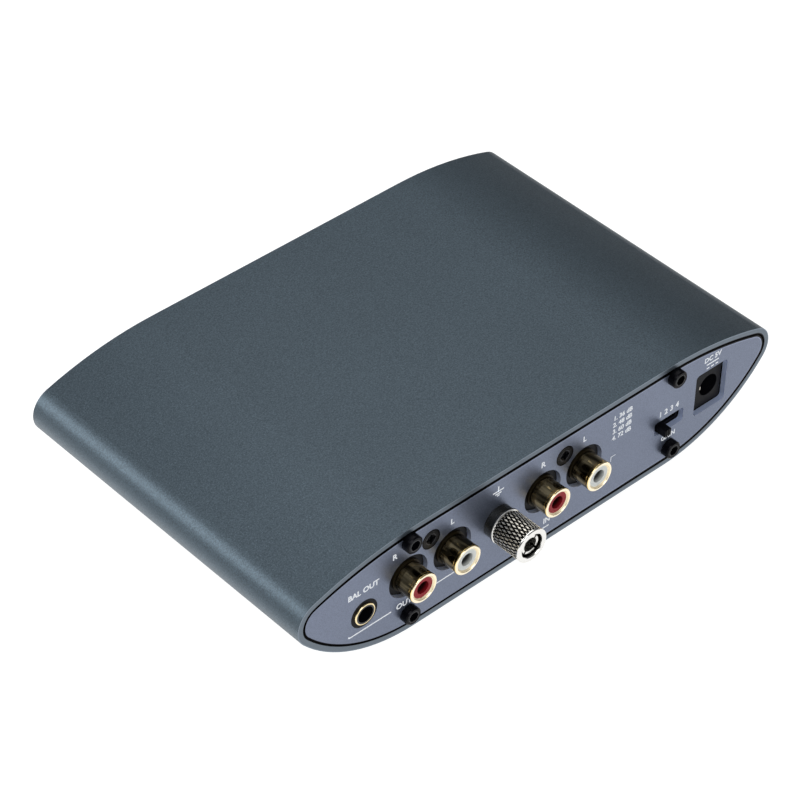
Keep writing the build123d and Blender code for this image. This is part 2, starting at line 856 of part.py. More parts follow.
with BuildPart() as ground_lug:
    with BuildSketch(behind(-panel_thickness)):
        with Locations(ground_point):
            Circle(ground_lug_radius)
        with Locations((ground_x, (ground_z + board_top) / 2)):
            Rectangle(ground_lug_width, ground_z - board_top)
        with Locations(ground_point):
            Circle(ground_stud_radius, mode=Mode.SUBTRACT)
    extrude(amount=ground_lug_thickness)
    # its foot is bent forwards onto the board
    with BuildSketch(behind(-panel_thickness)):
        with Locations((ground_x, board_top + ground_lug_thickness / 2)):
            Rectangle(ground_lug_width, ground_lug_thickness)
    extrude(amount=board_rear_gap + ground_lug_width)
finish(ground_lug, "ground_lug")

with BuildPart() as ground_nut:
    with BuildSketch(behind(-lug_back)):
        with Locations(ground_point):
            RegularPolygon(ground_nut_across_flats / 2, 6, major_radius=False)
            Circle(ground_stud_radius, mode=Mode.SUBTRACT)
    extrude(amount=ground_nut_thickness)
finish(ground_nut, "ground_nut")

washer_front = ground_collar_reach + ground_washer_thickness
with BuildPart() as ground_washer:
    with BuildSketch(behind(washer_front)):
        with Locations(ground_point):
            Circle(ground_washer_radius)
            Circle(ground_stud_radius + ground_thread_gap, mode=Mode.SUBTRACT)
    extrude(amount=ground_washer_thickness)
finish(ground_washer, "ground_washer")

with BuildPart() as ground_knob:
    with BuildSketch(behind(ground_knob_reach)):
        with Locations(ground_point):
            Circle(ground_knob_ring_radius)
    extrude(amount=ground_knob_ring_length)
    fillet(edges().group_by(Axis.Y)[-1], ground_knob_round)
    with BuildSketch(behind(ground_knob_reach - ground_knob_ring_length)):
        with Locations(ground_point):
            Circle(ground_knob_radius)
    extrude(amount=ground_knob_reach - ground_knob_ring_length - washer_front)
    with BuildSketch(behind(ground_knob_reach)):
        with Locations(ground_point):
            Circle(ground_mouth_radius)
    extrude(amount=ground_mouth_depth, mode=Mode.SUBTRACT)
    with BuildSketch(behind(ground_knob_reach)):
        with Locations(ground_point):
            Circle(ground_stud_radius + ground_thread_gap)
    extrude(amount=ground_knob_reach - washer_front, mode=Mode.SUBTRACT)
finish(ground_knob, "ground_knob")

# ---------------------------------------------------------------------------------------------------
# Gain switch
# ---------------------------------------------------------------------------------------------------
gain_cover_front = panel_thickness + gain_panel_gap
gain_cover_back = gain_cover_front + gain_cover_thickness
gain_body_height = gain_slot_z + gain_body_top - board_top
gain_body_z = board_top + gain_body_height / 2
gain_base_depth = gain_body_depth - gain_cover_thickness

with BuildPart() as gain_switch_base:
    with BuildSketch(behind(-gain_cover_back)):
        with Locations((gain_body_x, gain_body_z)):
            Rectangle(gain_body_width, gain_body_height)
    extrude(amount=gain_base_depth)
    with BuildSketch(behind(-gain_cover_back)):
        with Locations((gain_body_x, gain_slot_z)):
            Rectangle(
                gain_block_width + gain_travel + 2 * gain_slide_gap,
                gain_block_height + 2 * gain_slide_gap,
            )
    extrude(amount=gain_block_depth + gain_slide_gap, mode=Mode.SUBTRACT)
finish(gain_switch_base, "gain_switch_base")

with BuildPart() as gain_switch_cover:
    with BuildSketch(behind(-gain_cover_front)):
        with Locations((gain_body_x, gain_body_z)):
            Rectangle(gain_body_width, gain_body_height)
        with Locations((gain_body_x, gain_slot_z)):
            Rectangle(
                gain_lever_width + gain_travel + 2 * gain_slide_gap,
                gain_lever_height + 2 * gain_slide_gap,
                mode=Mode.SUBTRACT,
            )
    extrude(amount=gain_cover_thickness)
finish(gain_switch_cover, "gain_switch_cover")

with BuildPart() as gain_lever:
    with BuildSketch(behind(-gain_cover_back)):
        with Locations((gain_lever_x, gain_slot_z)):
            Rectangle(gain_block_width, gain_block_height)
    extrude(amount=gain_block_depth)
    with BuildSketch(behind(gain_lever_reach)):
        with Locations((gain_lever_x, gain_slot_z)):
            Rectangle(gain_lever_width, gain_lever_height)
    extrude(amount=gain_lever_reach + gain_cover_back)
    # grooves across its end for a fingernail
    with BuildSketch(behind(gain_lever_reach)):
        with Locations((gain_lever_x, gain_slot_z)):
            with GridLocations(gain_lever_width / gain_rib_count, 0, gain_rib_count, 1):
                Rectangle(gain_rib_width, gain_lever_height)
    extrude(amount=gain_rib_depth, mode=Mode.SUBTRACT)
finish(gain_lever, "gain_lever")

# ---------------------------------------------------------------------------------------------------
# Power socket
# ---------------------------------------------------------------------------------------------------
power_point = (power_jack_x, power_jack_z)
power_hole_back = power_jack_recess + power_hole_depth
power_spring_x = power_jack_x + power_hole_radius - power_spring_lap + power_spring_thickness / 2
power_spring_front = power_jack_recess + power_spring_recess

with BuildPart() as power_socket_body:
    with BuildSketch(behind(-power_jack_recess)):
        with Locations((power_jack_x, power_body_z)):
            RectangleRounded(power_jack_width, power_jack_height, power_jack_corner)
    extrude(amount=power_jack_depth)
    with BuildSketch(behind(-power_jack_recess)):
        with Locations(power_point):
            Circle(power_hole_radius)
    extrude(amount=power_hole_depth, mode=Mode.SUBTRACT)
    # groove in the hole's wall for the spring contact
    with BuildSketch(behind(-power_spring_front)):
        with Locations((power_spring_x, power_jack_z)):
            Rectangle(power_spring_thickness, power_spring_width)
    extrude(amount=power_hole_back - power_spring_front, mode=Mode.SUBTRACT)
finish(power_socket_body, "power_socket_body")

with BuildPart() as power_socket_pin:
    with BuildSketch(behind(-power_jack_recess - power_pin_recess)):
        with Locations(power_point):
            Circle(power_pin_radius)
    extrude(amount=power_hole_depth - power_pin_recess)
    fillet(edges().group_by(Axis.Y)[-1], power_pin_radius / 2)
finish(power_socket_pin, "power_socket_pin")

with BuildPart() as power_socket_spring:
    with BuildSketch(behind(-power_spring_front)):
        with Locations((power_spring_x, power_jack_z)):
            Rectangle(power_spring_thickness, power_spring_width)
    extrude(amount=power_hole_back - power_spring_front)
    # its end is bent over towards the plug
    with BuildSketch(behind(-power_spring_front)):
        with Locations((power_jack_x + power_hole_radius - power_spring_tip / 2, power_jack_z)):
            Rectangle(power_spring_tip, power_spring_width)
    extrude(amount=power_spring_thickness)
finish(power_socket_spring, "power_socket_spring")

# ---------------------------------------------------------------------------------------------------
# Front board
# ---------------------------------------------------------------------------------------------------
front_board_top = upper_channel_z - channel_radius - front_board_gap
front_board_bottom = lower_channel_z + channel_radius + front_board_gap
front_board_middle_z = (front_board_top + front_board_bottom) / 2

with BuildPart() as front_board:
    with BuildSketch(inside_front(front_board_setback + board_thickness)):
        with Locations((0, front_board_middle_z)):
            Rectangle(2 * front_board_half_width, front_board_top - front_board_bottom)
    extrude(amount=board_thickness)
finish(front_board, "front_board")

with BuildPart() as board_header:
    with BuildSketch(level(board_top)):
        with Locations((0, board_front + header_depth / 2)):
            Rectangle(header_width, header_depth)
    extrude(amount=header_height)
finish(board_header, "board_header")

# ---------------------------------------------------------------------------------------------------
# Load dial and its switch
# ---------------------------------------------------------------------------------------------------
dial_point = (dial_x, dial_z)
load_switch_front = front_board_setback - load_switch_depth
shaft_back = load_switch_front + load_shaft_inside
load_disc_radius = load_bush_radius + load_disc_lap

with BuildPart() as load_switch:
    with BuildSketch(inside_front(front_board_setback)):
        with Locations(dial_point):
            Rectangle(load_switch_width, load_switch_width)
    extrude(amount=load_switch_depth)
    with BuildSketch(inside_front(load_switch_front)):
        with Locations(dial_point):
            Circle(load_bush_radius)
    extrude(amount=load_switch_front + load_bush_reach)
    with BuildSketch(inside_front(shaft_back + load_shaft_gap)):
        with Locations(dial_point):
            Circle(load_shaft_radius + load_shaft_gap)
    extrude(amount=shaft_back + load_bush_reach + load_shaft_gap, mode=Mode.SUBTRACT)
    # chamber for the disc that keeps the shaft in
    with BuildSketch(inside_front(shaft_back + load_shaft_gap)):
        with Locations(dial_point):
            Circle(load_disc_radius + load_bush_gap)
    extrude(amount=load_disc_thickness + 2 * load_shaft_gap, mode=Mode.SUBTRACT)
finish(load_switch, "load_switch")

with BuildPart() as load_switch_nut:
    with BuildSketch(inside_front(0)):
        with Locations(dial_point):
            RegularPolygon(load_nut_across_flats / 2, 6, major_radius=False)
            Circle(load_bush_radius, mode=Mode.SUBTRACT)
    extrude(amount=load_nut_thickness)
finish(load_switch_nut, "load_switch_nut")

with BuildPart() as load_shaft:
    with BuildSketch(inside_front(shaft_back)):
        with Locations(dial_point):
            Circle(load_disc_radius)
    extrude(amount=load_disc_thickness)
    with BuildSketch(inside_front(shaft_back)):
        with Locations(dial_point):
            Circle(load_shaft_radius)
    extrude(amount=shaft_back + load_shaft_reach)
finish(load_shaft, "load_shaft")

with BuildPart() as load_dial:
    with BuildSketch(inside_front(-dial_gap)):
        with Locations(dial_point):
            Circle(dial_radius)
            # shallow flutes round its edge
            with PolarLocations(dial_radius, dial_grip_count):
                Circle(dial_grip_radius, mode=Mode.SUBTRACT)
    extrude(amount=dial_reach - dial_gap)
    chamfer(edges().group_by(Axis.Y)[0], dial_edge / 2)
    with BuildSketch(inside_front(-dial_gap)):
        with Locations(dial_point):
            Circle(dial_recess_radius)
    extrude(amount=dial_recess_depth, mode=Mode.SUBTRACT)
    with BuildSketch(inside_front(-dial_gap)):
        with Locations(dial_point):
            Circle(load_shaft_radius)
    extrude(amount=load_shaft_reach - dial_gap, mode=Mode.SUBTRACT)
    with BuildSketch(inside_front(-dial_reach)):
        with Locations((dial_x, dial_z + dial_radius - dial_edge - pointer_length / 2)):
            Rectangle(pointer_width, pointer_length)
    extrude(amount=-pointer_depth, mode=Mode.SUBTRACT)
finish(load_dial, "load_dial")

# ---------------------------------------------------------------------------------------------------
# Push buttons
# ---------------------------------------------------------------------------------------------------
switch_front = front_board_setback - switch_depth
plunger_front = switch_front - plunger_reach
flange_back = panel_thickness + button_gap + button_flange_thickness
button_flange_radius = button_radius + button_flange_step


def push_switch(x):
    """Small switch on the front board, with a hole for its plunger."""
    with BuildPart() as switch:
        with BuildSketch(inside_front(front_board_setback)):
            with Locations((x, dial_z)):
                Rectangle(switch_size, switch_size)
        extrude(amount=switch_depth)
        with BuildSketch(inside_front(switch_front + plunger_inside + button_travel + button_gap)):
            with Locations((x, dial_z)):
                Circle(plunger_radius + plunger_gap)
        extrude(amount=plunger_inside + button_travel + button_gap, mode=Mode.SUBTRACT)
    return switch


def switch_plunger(x):
    """Plunger that the button pushes into its switch."""
    with BuildPart() as plunger:
        with BuildSketch(inside_front(switch_front + plunger_inside)):
            with Locations((x, dial_z)):
                Circle(plunger_radius)
        extrude(amount=plunger_inside + plunger_reach)
    return plunger


def push_button(x):
    """Button cap, with a flange that keeps it behind the panel and a stem to the plunger."""
    with BuildPart() as button:
        with BuildSketch(inside_front(panel_thickness + button_gap)):
            with Locations((x, dial_z)):
                Circle(button_radius)
        extrude(amount=panel_thickness + button_gap + button_reach)
        fillet(edges().group_by(Axis.Y)[0], button_edge)
        with BuildSketch(inside_front(flange_back)):
            with Locations((x, dial_z)):
                Circle(button_flange_radius)
        extrude(amount=button_flange_thickness)
        with BuildSketch(inside_front(plunger_front)):
            with Locations((x, dial_z)):
                Circle(button_stem_radius)
        extrude(amount=plunger_front - flange_back)
    return button


for button_name, button_x in buttons.items():
    finish(push_switch(button_x), f"{button_name}_switch")
    finish(switch_plunger(button_x), f"{button_name}_plunger")
    finish(push_button(button_x), f"{button_name}_button")

# ---------------------------------------------------------------------------------------------------
# Indicator lights
# ---------------------------------------------------------------------------------------------------
with BuildPart() as indicator_lights:
    with BuildSketch(inside_front(front_board_setback)):
        with Locations(*light_points):
            Rectangle(light_size, light_size)
    extrude(amount=light_thickness)
finish(indicator_lights, "indicator_lights")

with BuildPart() as light_guides:
    with BuildSketch(inside_front(front_board_setback - light_thickness)):
        with Locations(*light_points):
            Circle(light_guide_radius)
    extrude(amount=front_board_setback - light_thickness)
finish(light_guides, "light_guides")
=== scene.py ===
"""Dresses a packed phono preamplifier: finishes, knurled ground knob, printed marks and stage.

X runs to the right seen from the front, Y towards the rear sockets, Z up; lengths are in metres
unless a comment says millimetres.
"""

import math

import bpy
from mathutils import Matrix, Vector


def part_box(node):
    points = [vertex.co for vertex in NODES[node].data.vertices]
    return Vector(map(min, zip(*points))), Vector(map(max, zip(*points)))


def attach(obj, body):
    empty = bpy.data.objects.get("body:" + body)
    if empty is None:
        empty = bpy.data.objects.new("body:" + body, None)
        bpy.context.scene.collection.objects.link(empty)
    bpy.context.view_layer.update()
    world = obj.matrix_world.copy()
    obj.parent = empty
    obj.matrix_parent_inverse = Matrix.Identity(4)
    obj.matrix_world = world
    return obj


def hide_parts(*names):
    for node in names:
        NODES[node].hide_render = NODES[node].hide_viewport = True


bl_info = {
    "name": "Phono preamplifier dresser",
    "version": (1, 0, 0),
    "blender": (4, 5, 0),
    "location": "View3D > Sidebar > Preamplifier",
    "description": "Finishes a phono preamplifier with sockets, a ground post and a load dial",
    "category": "Object",
}

MM = 0.001

# Section of the case in millimetres. Its widest level lies CASE_DROP above its underside. A curve is
# the half width of its flat run, then the level and the radius of its arc. The round edge is how far
# out its centre lies, and its radius.
CASE_DROP = 21.0
CASE_CURVES = ((41.7, -89.9, 101.816), (42.7, 23.6, 44.6))
CASE_EDGE = (72.1, 6.9)
CASE_WALL = 1.6
PANEL_INSET = 2.15

# Painted shade along the joint between case and panel: its black, and how many millimetres it spreads
# onto each of them.
JOINT_PAINTED_SHADE = (0.002, 0.002, 0.003)
CASE_SHADE_SPREAD = 0.12
PANEL_SHADE_SPREAD = 0.18

# Millimetres: heads of the rear screws, reach of the dial's numbers, place of the first gain light.
PANEL_SCREW_HEAD = 4.9
DIAL_NUMBERS_RADIUS = 12.7
GAIN_LIGHTS_FROM = 21.0

# A capital's height as a share of the font size, and its thickening as a share of its height.
CAPITAL_SHARE = 0.73
BOLDEN = 0.044

# Words: text, the piece they belong to, place across and up from its middle in millimetres, share of
# the letter height, alignment.
REAR_WORDS = (
    ("R", "output_right_shell", 4.4, 8.9, 1.0, "CENTER"),
    ("L", "output_left_shell", 0.3, 8.9, 1.0, "CENTER"),
    ("R", "input_right_shell", 0.3, 8.9, 1.0, "CENTER"),
    ("L", "input_left_shell", 0.4, 8.9, 1.0, "CENTER"),
    ("BAL OUT", "balanced_socket_ring", 0.3, 7.5, 1.0, "CENTER"),
    ("OUT", "balanced_socket_ring", -12.6, -5.1, 1.0, "CENTER"),
    ("IN", "input_right_shell", -2.0, -10.6, 1.0, "CENTER"),
    ("1", "gain_lever", 0.3, 4.3, 1.0, "CENTER"),
    ("2", "gain_lever", -1.7, 4.3, 1.0, "CENTER"),
    ("3", "gain_lever", -3.7, 4.3, 1.0, "CENTER"),
    ("4", "gain_lever", -5.7, 4.3, 1.0, "CENTER"),
    ("GAIN", "gain_lever", -3.3, -4.6, 0.9, "CENTER"),
    ("1. 36 dB", "gain_lever", 17.6, 12.9, 0.85, "LEFT"),
    ("2. 48 dB", "gain_lever", 17.6, 10.73, 0.85, "LEFT"),
    ("3. 60 dB", "gain_lever", 17.6, 8.56, 0.85, "LEFT"),
    ("4. 72 dB", "gain_lever", 17.6, 6.39, 0.85, "LEFT"),
    ("DC 5V", "power_socket_body", 0.6, 10.6, 0.92, "CENTER"),
)

# Lines: piece, then from and to across, and from and to up, in millimetres from its middle. A line
# drawn without width or height is as thick as MarkSizes.line.
REAR_LINES = (
    ("ground_knob", 0.1, 0.1, 9.4, 11.0),
    ("ground_knob", -1.7, 1.9, 9.5, 9.5),
    ("ground_knob", -0.9, 1.1, 8.75, 8.75),
    ("ground_knob", -0.3, 0.5, 8.15, 8.15),
    ("balanced_socket_ring", 4.8, -8.5, -5.2, -5.2),
    ("balanced_socket_ring", 4.8, 4.8, -5.2, -4.7),
    ("balanced_socket_ring", -17.4, -29.6, -5.2, -5.2),
    ("balanced_socket_ring", -29.6, -29.6, -5.2, -4.3),
    ("input_right_shell", -0.75, -2.85, -12.7, -12.7),
    ("input_left_shell", -9.5, -11.2, -3.1, -2.9),
    ("input_left_shell", -9.5, -9.7, -4.5, -3.1),
    ("power_socket_body", 2.7, -1.7, 9.0, 9.0),
    ("power_socket_body", 2.6, 1.6, 7.8, 7.8),
    ("power_socket_body", 1.0, 0.0, 7.8, 7.8),
    ("power_socket_body", -0.6, -1.6, 7.8, 7.8),
)
FRONT_LINES = (
    ("power_button", 0.0, 0.0, 6.1, 7.4),
    ("filter_button", -0.2, 1.8, 6.6, 6.6),
    ("filter_button", -0.2, -0.2, 5.2, 6.6),
    ("filter_button", -1.8, -0.2, 5.2, 5.2),
)

# Lamps: name, place, aim, width and length, power in watts.
LAMP_AIM = (0.0, 0.0, 0.02)
SOFTBOXES = (
    ("back_softbox", (-0.34, -0.32, 0.66), LAMP_AIM, (0.42, 0.42), 1.1),
    ("top_softbox", (0.05, -0.25, 0.85), LAMP_AIM, (0.50, 0.50), 1.3),
    ("left_softbox", (0.72, -0.60, 0.52), LAMP_AIM, (0.60, 0.60), 6.3),
    ("rear_softbox", (0.22, 0.95, 0.60), LAMP_AIM, (0.46, 0.46), 3.6),
    ("side_reflector", (0.096, -0.015, 0.001), (0.096, -0.015, 1.0), (0.03, 0.15), 0.010),
)
FLOOR_DROP = 0.05 * MM

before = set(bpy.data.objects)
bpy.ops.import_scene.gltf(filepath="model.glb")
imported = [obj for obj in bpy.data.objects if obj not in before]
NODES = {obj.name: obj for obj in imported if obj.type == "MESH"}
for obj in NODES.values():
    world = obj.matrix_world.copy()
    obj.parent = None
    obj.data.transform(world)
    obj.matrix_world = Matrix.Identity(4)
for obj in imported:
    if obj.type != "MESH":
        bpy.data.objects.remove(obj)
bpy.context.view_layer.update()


def middle(node):
    """Middle of a node's box."""
    low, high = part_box(node)
    return (low + high) / 2


REAR_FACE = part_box("rear_panel")[1].y
FRONT_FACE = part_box("front_panel")[0].y
DIAL = middle("load_dial")
KNOB = middle("ground_knob")
SOCKETS = [f"{pair}_{side}" for pair in ("output", "input") for side in ("right", "left")]
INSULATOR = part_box("input_left_insulator")
BORE_RADIUS = (INSULATOR[1].x - INSULATOR[0].x) / 2 / MM


# ---- Sizes and colours ----
def length(name, default, description):
    """A length that a user can change."""
    return bpy.props.FloatProperty(
        name=name, description=description, default=default, precision=5, unit="LENGTH", min=0.0
    )


def colour(name, default, description):
    """A colour that a user can change."""
    return bpy.props.FloatVectorProperty(
        name=name, description=description, default=default, size=3, subtype="COLOR", min=0.0, max=1.0
    )


def angle(name, degrees, description):
    """An angle that a user can change."""
    return bpy.props.FloatProperty(
        name=name, description=description, default=math.radians(degrees), subtype="ANGLE"
    )


def share(name, default, description):
    """A share between 0 and 1."""
    return bpy.props.FloatProperty(
        name=name, description=description, default=default, min=0.0, max=1.0, subtype="FACTOR"
    )


def number(name, default, description):
    """A plain number."""
    return bpy.props.FloatProperty(name=name, description=description, default=default)


class FinishColours(bpy.types.PropertyGroup):
    """Base colours of the finishes."""

    case: colour("Case", (0.070, 0.096, 0.118), "Dyed and blasted case")
    case_rim: colour("Case rim", (0.150, 0.182, 0.218), "Machined ends of the case")
    panel: colour("Panel", (0.183, 0.213, 0.292), "Smooth end panels")
    gold: colour("Gold", (0.80, 0.60, 0.29), "Plating of the sockets")
    # The lip and edge colours are painted highlights: paler and brighter gold where the sockets would
    # catch light.
    lip: colour("Gold lip", (1.00, 0.90, 0.68), "Polished front lips of the sockets")
    edge: colour("Gold edge", (1.00, 0.76, 0.30), "Rounded edges behind the lips")
    nickel: colour("Nickel", (0.86, 0.85, 0.82), "Plating of the ground post")
    red: colour("Red", (0.36, 0.014, 0.024), "Insulator of the right channel")
    white: colour("White", (0.93, 0.97, 0.95), "Insulator of the left channel")
    black: colour("Black", (0.005, 0.005, 0.007), "Moulded plastic and black screws")
    ink: colour("Ink", (0.97, 0.98, 1.00), "Printed marks")


class KnurlSizes(bpy.types.PropertyGroup):
    """Sizes of the ground knob."""

    around: bpy.props.IntProperty(
        name="Around", description="Diamonds round the knob", default=32, min=8
    )
    along: bpy.props.IntProperty(name="Along", description="Rows of diamonds", default=3, min=2)
    depth: length("Depth", 0.34 * MM, "From a diamond's flat top to the valleys")
    land: length("Land", 0.21 * MM, "How far a diamond's flat top lies in from its valleys")
    ring_length: length("Ring", 0.55 * MM, "Plain ring at the outer end")
    flange: length("Flange", 0.28 * MM, "Plain chamfered flange at the inner end")
    ring_round: length("Ring edge", 0.35 * MM, "Round of the ring's outer edge")
    mouth_radius: length("Mouth", 3.35 * MM, "Radius of the mouth round the stud")
    mouth_depth: length("Mouth depth", 2.8 * MM, "Depth of the mouth")
    bore_radius: length("Bore", 2.7 * MM, "Radius of the threaded hole")


class MarkSizes(bpy.types.PropertyGroup):
    """Sizes of the printed marks."""

    proud: length("Proud", 0.02 * MM, "Thickness of the ink above the panel")
    letter: length("Letter", 1.7 * MM, "Height of the channel letters and digits")
    line: length("Line", 0.40 * MM, "Width of the printed lines")


class StageSettings(bpy.types.PropertyGroup):
    """Camera, lamps and floor."""

    target: bpy.props.FloatVectorProperty(
        name="Target",
        description="Point that the camera looks at",
        default=(3.652 * MM, -1.740 * MM, 18.900 * MM),
        subtype="TRANSLATION",
        precision=5,
    )
    azimuth: angle("Azimuth", 137.004, "Camera's direction round the object")
    elevation: angle("Elevation", 41.093, "Camera's height above the horizon")
    roll: angle("Roll", 1.078, "Camera's turn about its own axis")
    distance: length("Distance", 749.767 * MM, "From the camera to its target")
    lens: number("Lens", 134.995, "Focal length in millimetres")
    sky: number("Sky", 0.15, "Strength of the light from all round")
    floor: colour("Floor", (0.80, 0.80, 0.81), "Pale floor")
    shadow: share("Shadow", 0.28, "How strongly the floor shows the object's shadow")
    glow: share("Glow", 0.96, "How white the floor looks by itself")


GROUPS = {
    "preamp_finish": FinishColours,
    "preamp_knurl": KnurlSizes,
    "preamp_marks": MarkSizes,
    "preamp_stage": StageSettings,
}


# ---- Shader maths ----
class Signal:
    """An output of a shader node, so that shader maths reads as plain sums."""

    def __init__(self, recipe, socket):
        self.recipe = recipe
        self.socket = socket

    def maths(self, operation, *others):
        values = {index: value for index, value in enumerate((self, *others))}
        return self.recipe.node("ShaderNodeMath", {"operation": operation}, values)[0]

    def __add__(self, other):
        return self.maths("ADD", other)

    __radd__ = __add__

    def __mul__(self, other):
        return self.maths("MULTIPLY", other)

    def __sub__(self, other):
        return self.maths("SUBTRACT", other)

    def __rsub__(self, other):
        values = {0: other, 1: self}
        return self.recipe.node("ShaderNodeMath", {"operation": "SUBTRACT"}, values)[0]

    def power(self, exponent):
        return self.maths("POWER", exponent)

    def sine(self):
        return self.maths("SINE")

    def size(self):
        return self.maths("ABSOLUTE")

    def stepped(self, low, high):
        """0 below low, 1 above high, smooth between them."""
        settings = {"interpolation_type": "SMOOTHSTEP"}
        values = {"Value": self, "From Min": low, "From Max": high}
        return self.recipe.node("ShaderNodeMapRange", settings, values)[0]

    def between(self, low, high):
        """Takes 0 to low and 1 to high."""
        return self * (high - low) + low


class Made:
    """A shader node whose outputs are read by name or place."""

    def __init__(self, recipe, node):
        self.recipe = recipe
        self.node = node

    def __getitem__(self, key):
        return Signal(self.recipe, pick(self.node.outputs, key))


def pick(sockets, key):
    """The socket with this place, identifier or name."""
    if isinstance(key, int):
        return sockets[key]
    for socket in sockets:
        if socket.identifier == key:
            return socket
    return sockets[key]


class Nodes:
    """Node tree of a material or a world."""

    def __init__(self, holder):
        holder.use_nodes = True
        self.tree = holder.node_tree
        self.tree.nodes.clear()

    def seen(self):
        """1 for the rays that show a thing: straight from the camera, mirrored or through glass."""
        rays = self.node("ShaderNodeLightPath")
        mirrored = rays["Is Camera Ray"].maths("MAXIMUM", rays["Is Glossy Ray"])
        return mirrored.maths("MAXIMUM", rays["Is Transmission Ray"])

    def node(self, kind, settings=None, values=None):
        """Adds a node, sets it up, then gives its sockets their values or links."""
        node = self.tree.nodes.new(kind)
        for key, value in (settings or {}).items():
            setattr(node, key, value)
        for key, value in (values or {}).items():
            socket = pick(node.inputs, key)
            if isinstance(value, Signal):
                self.tree.links.new(value.socket, socket)
            elif socket.type == "RGBA":
                socket.default_value = (*tuple(value)[:3], 1.0)
            else:
                socket.default_value = value
        return Made(self, node)


SURFACE = {
    "tone": "Base Color",
    "metallic": "Metallic",
    "roughness": "Roughness",
    "normal": "Normal",
    "gloss": "Specular IOR Level",
    "glow": "Emission Color",
    "glow_strength": "Emission Strength",
}


class Recipe(Nodes):
    """Node tree of one material, read in Object coordinates in millimetres."""

    def __init__(self, name):
        self.material = bpy.data.materials.new(name)
        super().__init__(self.material)
        self.place = self.node("ShaderNodeTexCoord")
        self.mm = self.scaled(self.place["Object"], 1 / MM)

    def scaled(self, vector, factor):
        """A vector times a number."""
        settings = {"operation": "SCALE"}
        return self.node("ShaderNodeVectorMath", settings, {"Vector": vector, "Scale": factor})["Vector"]

    def stretched(self, vector, factors):
        """A vector times a number for each axis."""
        return self.node("ShaderNodeVectorMath", {"operation": "MULTIPLY"}, {0: vector, 1: factors})[0]

    def noise(self, per_mm, detail=2.0, roughness=0.5, vector=None):
        """Soft random field with about per_mm changes in a millimetre."""
        place = {"Vector": vector or self.mm}
        values = {**place, "Scale": per_mm, "Detail": detail, "Roughness": roughness}
        return self.node("ShaderNodeTexNoise", {"noise_dimensions": "3D"}, values)[0]

    def turning(self, per_mm):
        """Fine lines that a lathe leaves round an axis along Y."""
        return self.noise(per_mm, 2.0, 0.6, self.stretched(self.mm, (0.05, 1.0, 0.05)))

    def mix(self, factor, first, second):
        """First colour at 0, second at 1."""
        values = {"Factor_Float": factor, "A_Color": first, "B_Color": second}
        return self.node("ShaderNodeMix", {"data_type": "RGBA"}, values)["Result_Color"]

    def shaded(self, tone, amount):
        """A colour made lighter or darker by a field round 1."""
        values = {"Factor_Float": 1.0, "A_Color": tone, "B_Color": amount}
        settings = {"data_type": "RGBA", "blend_type": "MULTIPLY"}
        return self.node("ShaderNodeMix", settings, values)["Result_Color"]

    def split(self, vector):
        """The three parts of a vector."""
        parts = self.node("ShaderNodeSeparateXYZ", None, {"Vector": vector})
        return parts[0], parts[1], parts[2]

    def radius(self, centre):
        """Distance in millimetres from an axis along Y through centre."""
        values = {0: self.mm, 1: tuple(v / MM for v in centre)}
        offset = self.node("ShaderNodeVectorMath", {"operation": "SUBTRACT"}, values)[0]
        flat = self.stretched(offset, (1.0, 0.0, 1.0))
        return self.node("ShaderNodeVectorMath", {"operation": "LENGTH"}, {0: flat})["Value"]

    def bump(self, height, distance, strength):
        """Normal from a height field whose full swing is distance metres."""
        values = {"Height": height, "Distance": distance, "Strength": strength}
        return self.node("ShaderNodeBump", None, values)["Normal"]

    def finish(self, **values):
        """Ends the tree in a principled surface with these values, named as in SURFACE."""
        named = {SURFACE[name]: value for name, value in values.items()}
        surface = self.node("ShaderNodeBsdfPrincipled", None, named)
        self.node("ShaderNodeOutputMaterial", None, {"Surface": surface[0]})
        return self.material


def times(tone, factor):
    """A colour made darker or lighter, up to white."""
    return tuple(min(1.0, factor * part) for part in tone)


def lowest(signals):
    """The smallest of some signals."""
    least, *others = signals
    for other in others:
        least = least.maths("MINIMUM", other)
    return least


def reach(first, second):
    """Length of a step whose two parts are these signals."""
    return (first * first + second * second).power(0.5)


def inset(recipe):
    """Distance in millimetres from the case's outline, inwards, and how wide the joint looks, which sets
    the width of its painted shade.

    The joint looks wider high up, and on the rear also towards negative X; its painted shade is spread
    wider there.
    """
    across, deep, up = recipe.split(recipe.mm)
    beside = across.size()
    level = up - (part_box("case_sleeve")[0].z / MM + CASE_DROP)
    edge_x, edge_radius = CASE_EDGE
    out = beside - edge_x
    curved = []
    by_edge = 1.0
    for flat_half, centre_level, radius in CASE_CURVES:
        sideways = (beside - flat_half).maths("MAXIMUM", 0.0)
        curved.append(radius - reach(sideways, level - centre_level))
        run = edge_x - flat_half
        past = out * abs(centre_level) + level * math.copysign(run, centre_level)
        by_edge = (past * (1 / math.hypot(run, centre_level))).stepped(-0.05, 0.05) * by_edge
    clear = lowest(curved)
    rounded = edge_radius - reach(out, level)
    far = (1 - across.stepped(-60.0, 60.0)) * deep.stepped(-1.0, 1.0) * 1.5
    wide = far.maths("MAXIMUM", level.stepped(2.0, 9.0))
    return clear + (rounded - clear) * by_edge, wide


def end_face(recipe):
    """1 on faces that look along Y, 0 on the others."""
    facing = recipe.split(recipe.place["Normal"])[1]
    return facing.size().stepped(0.8, 0.95)


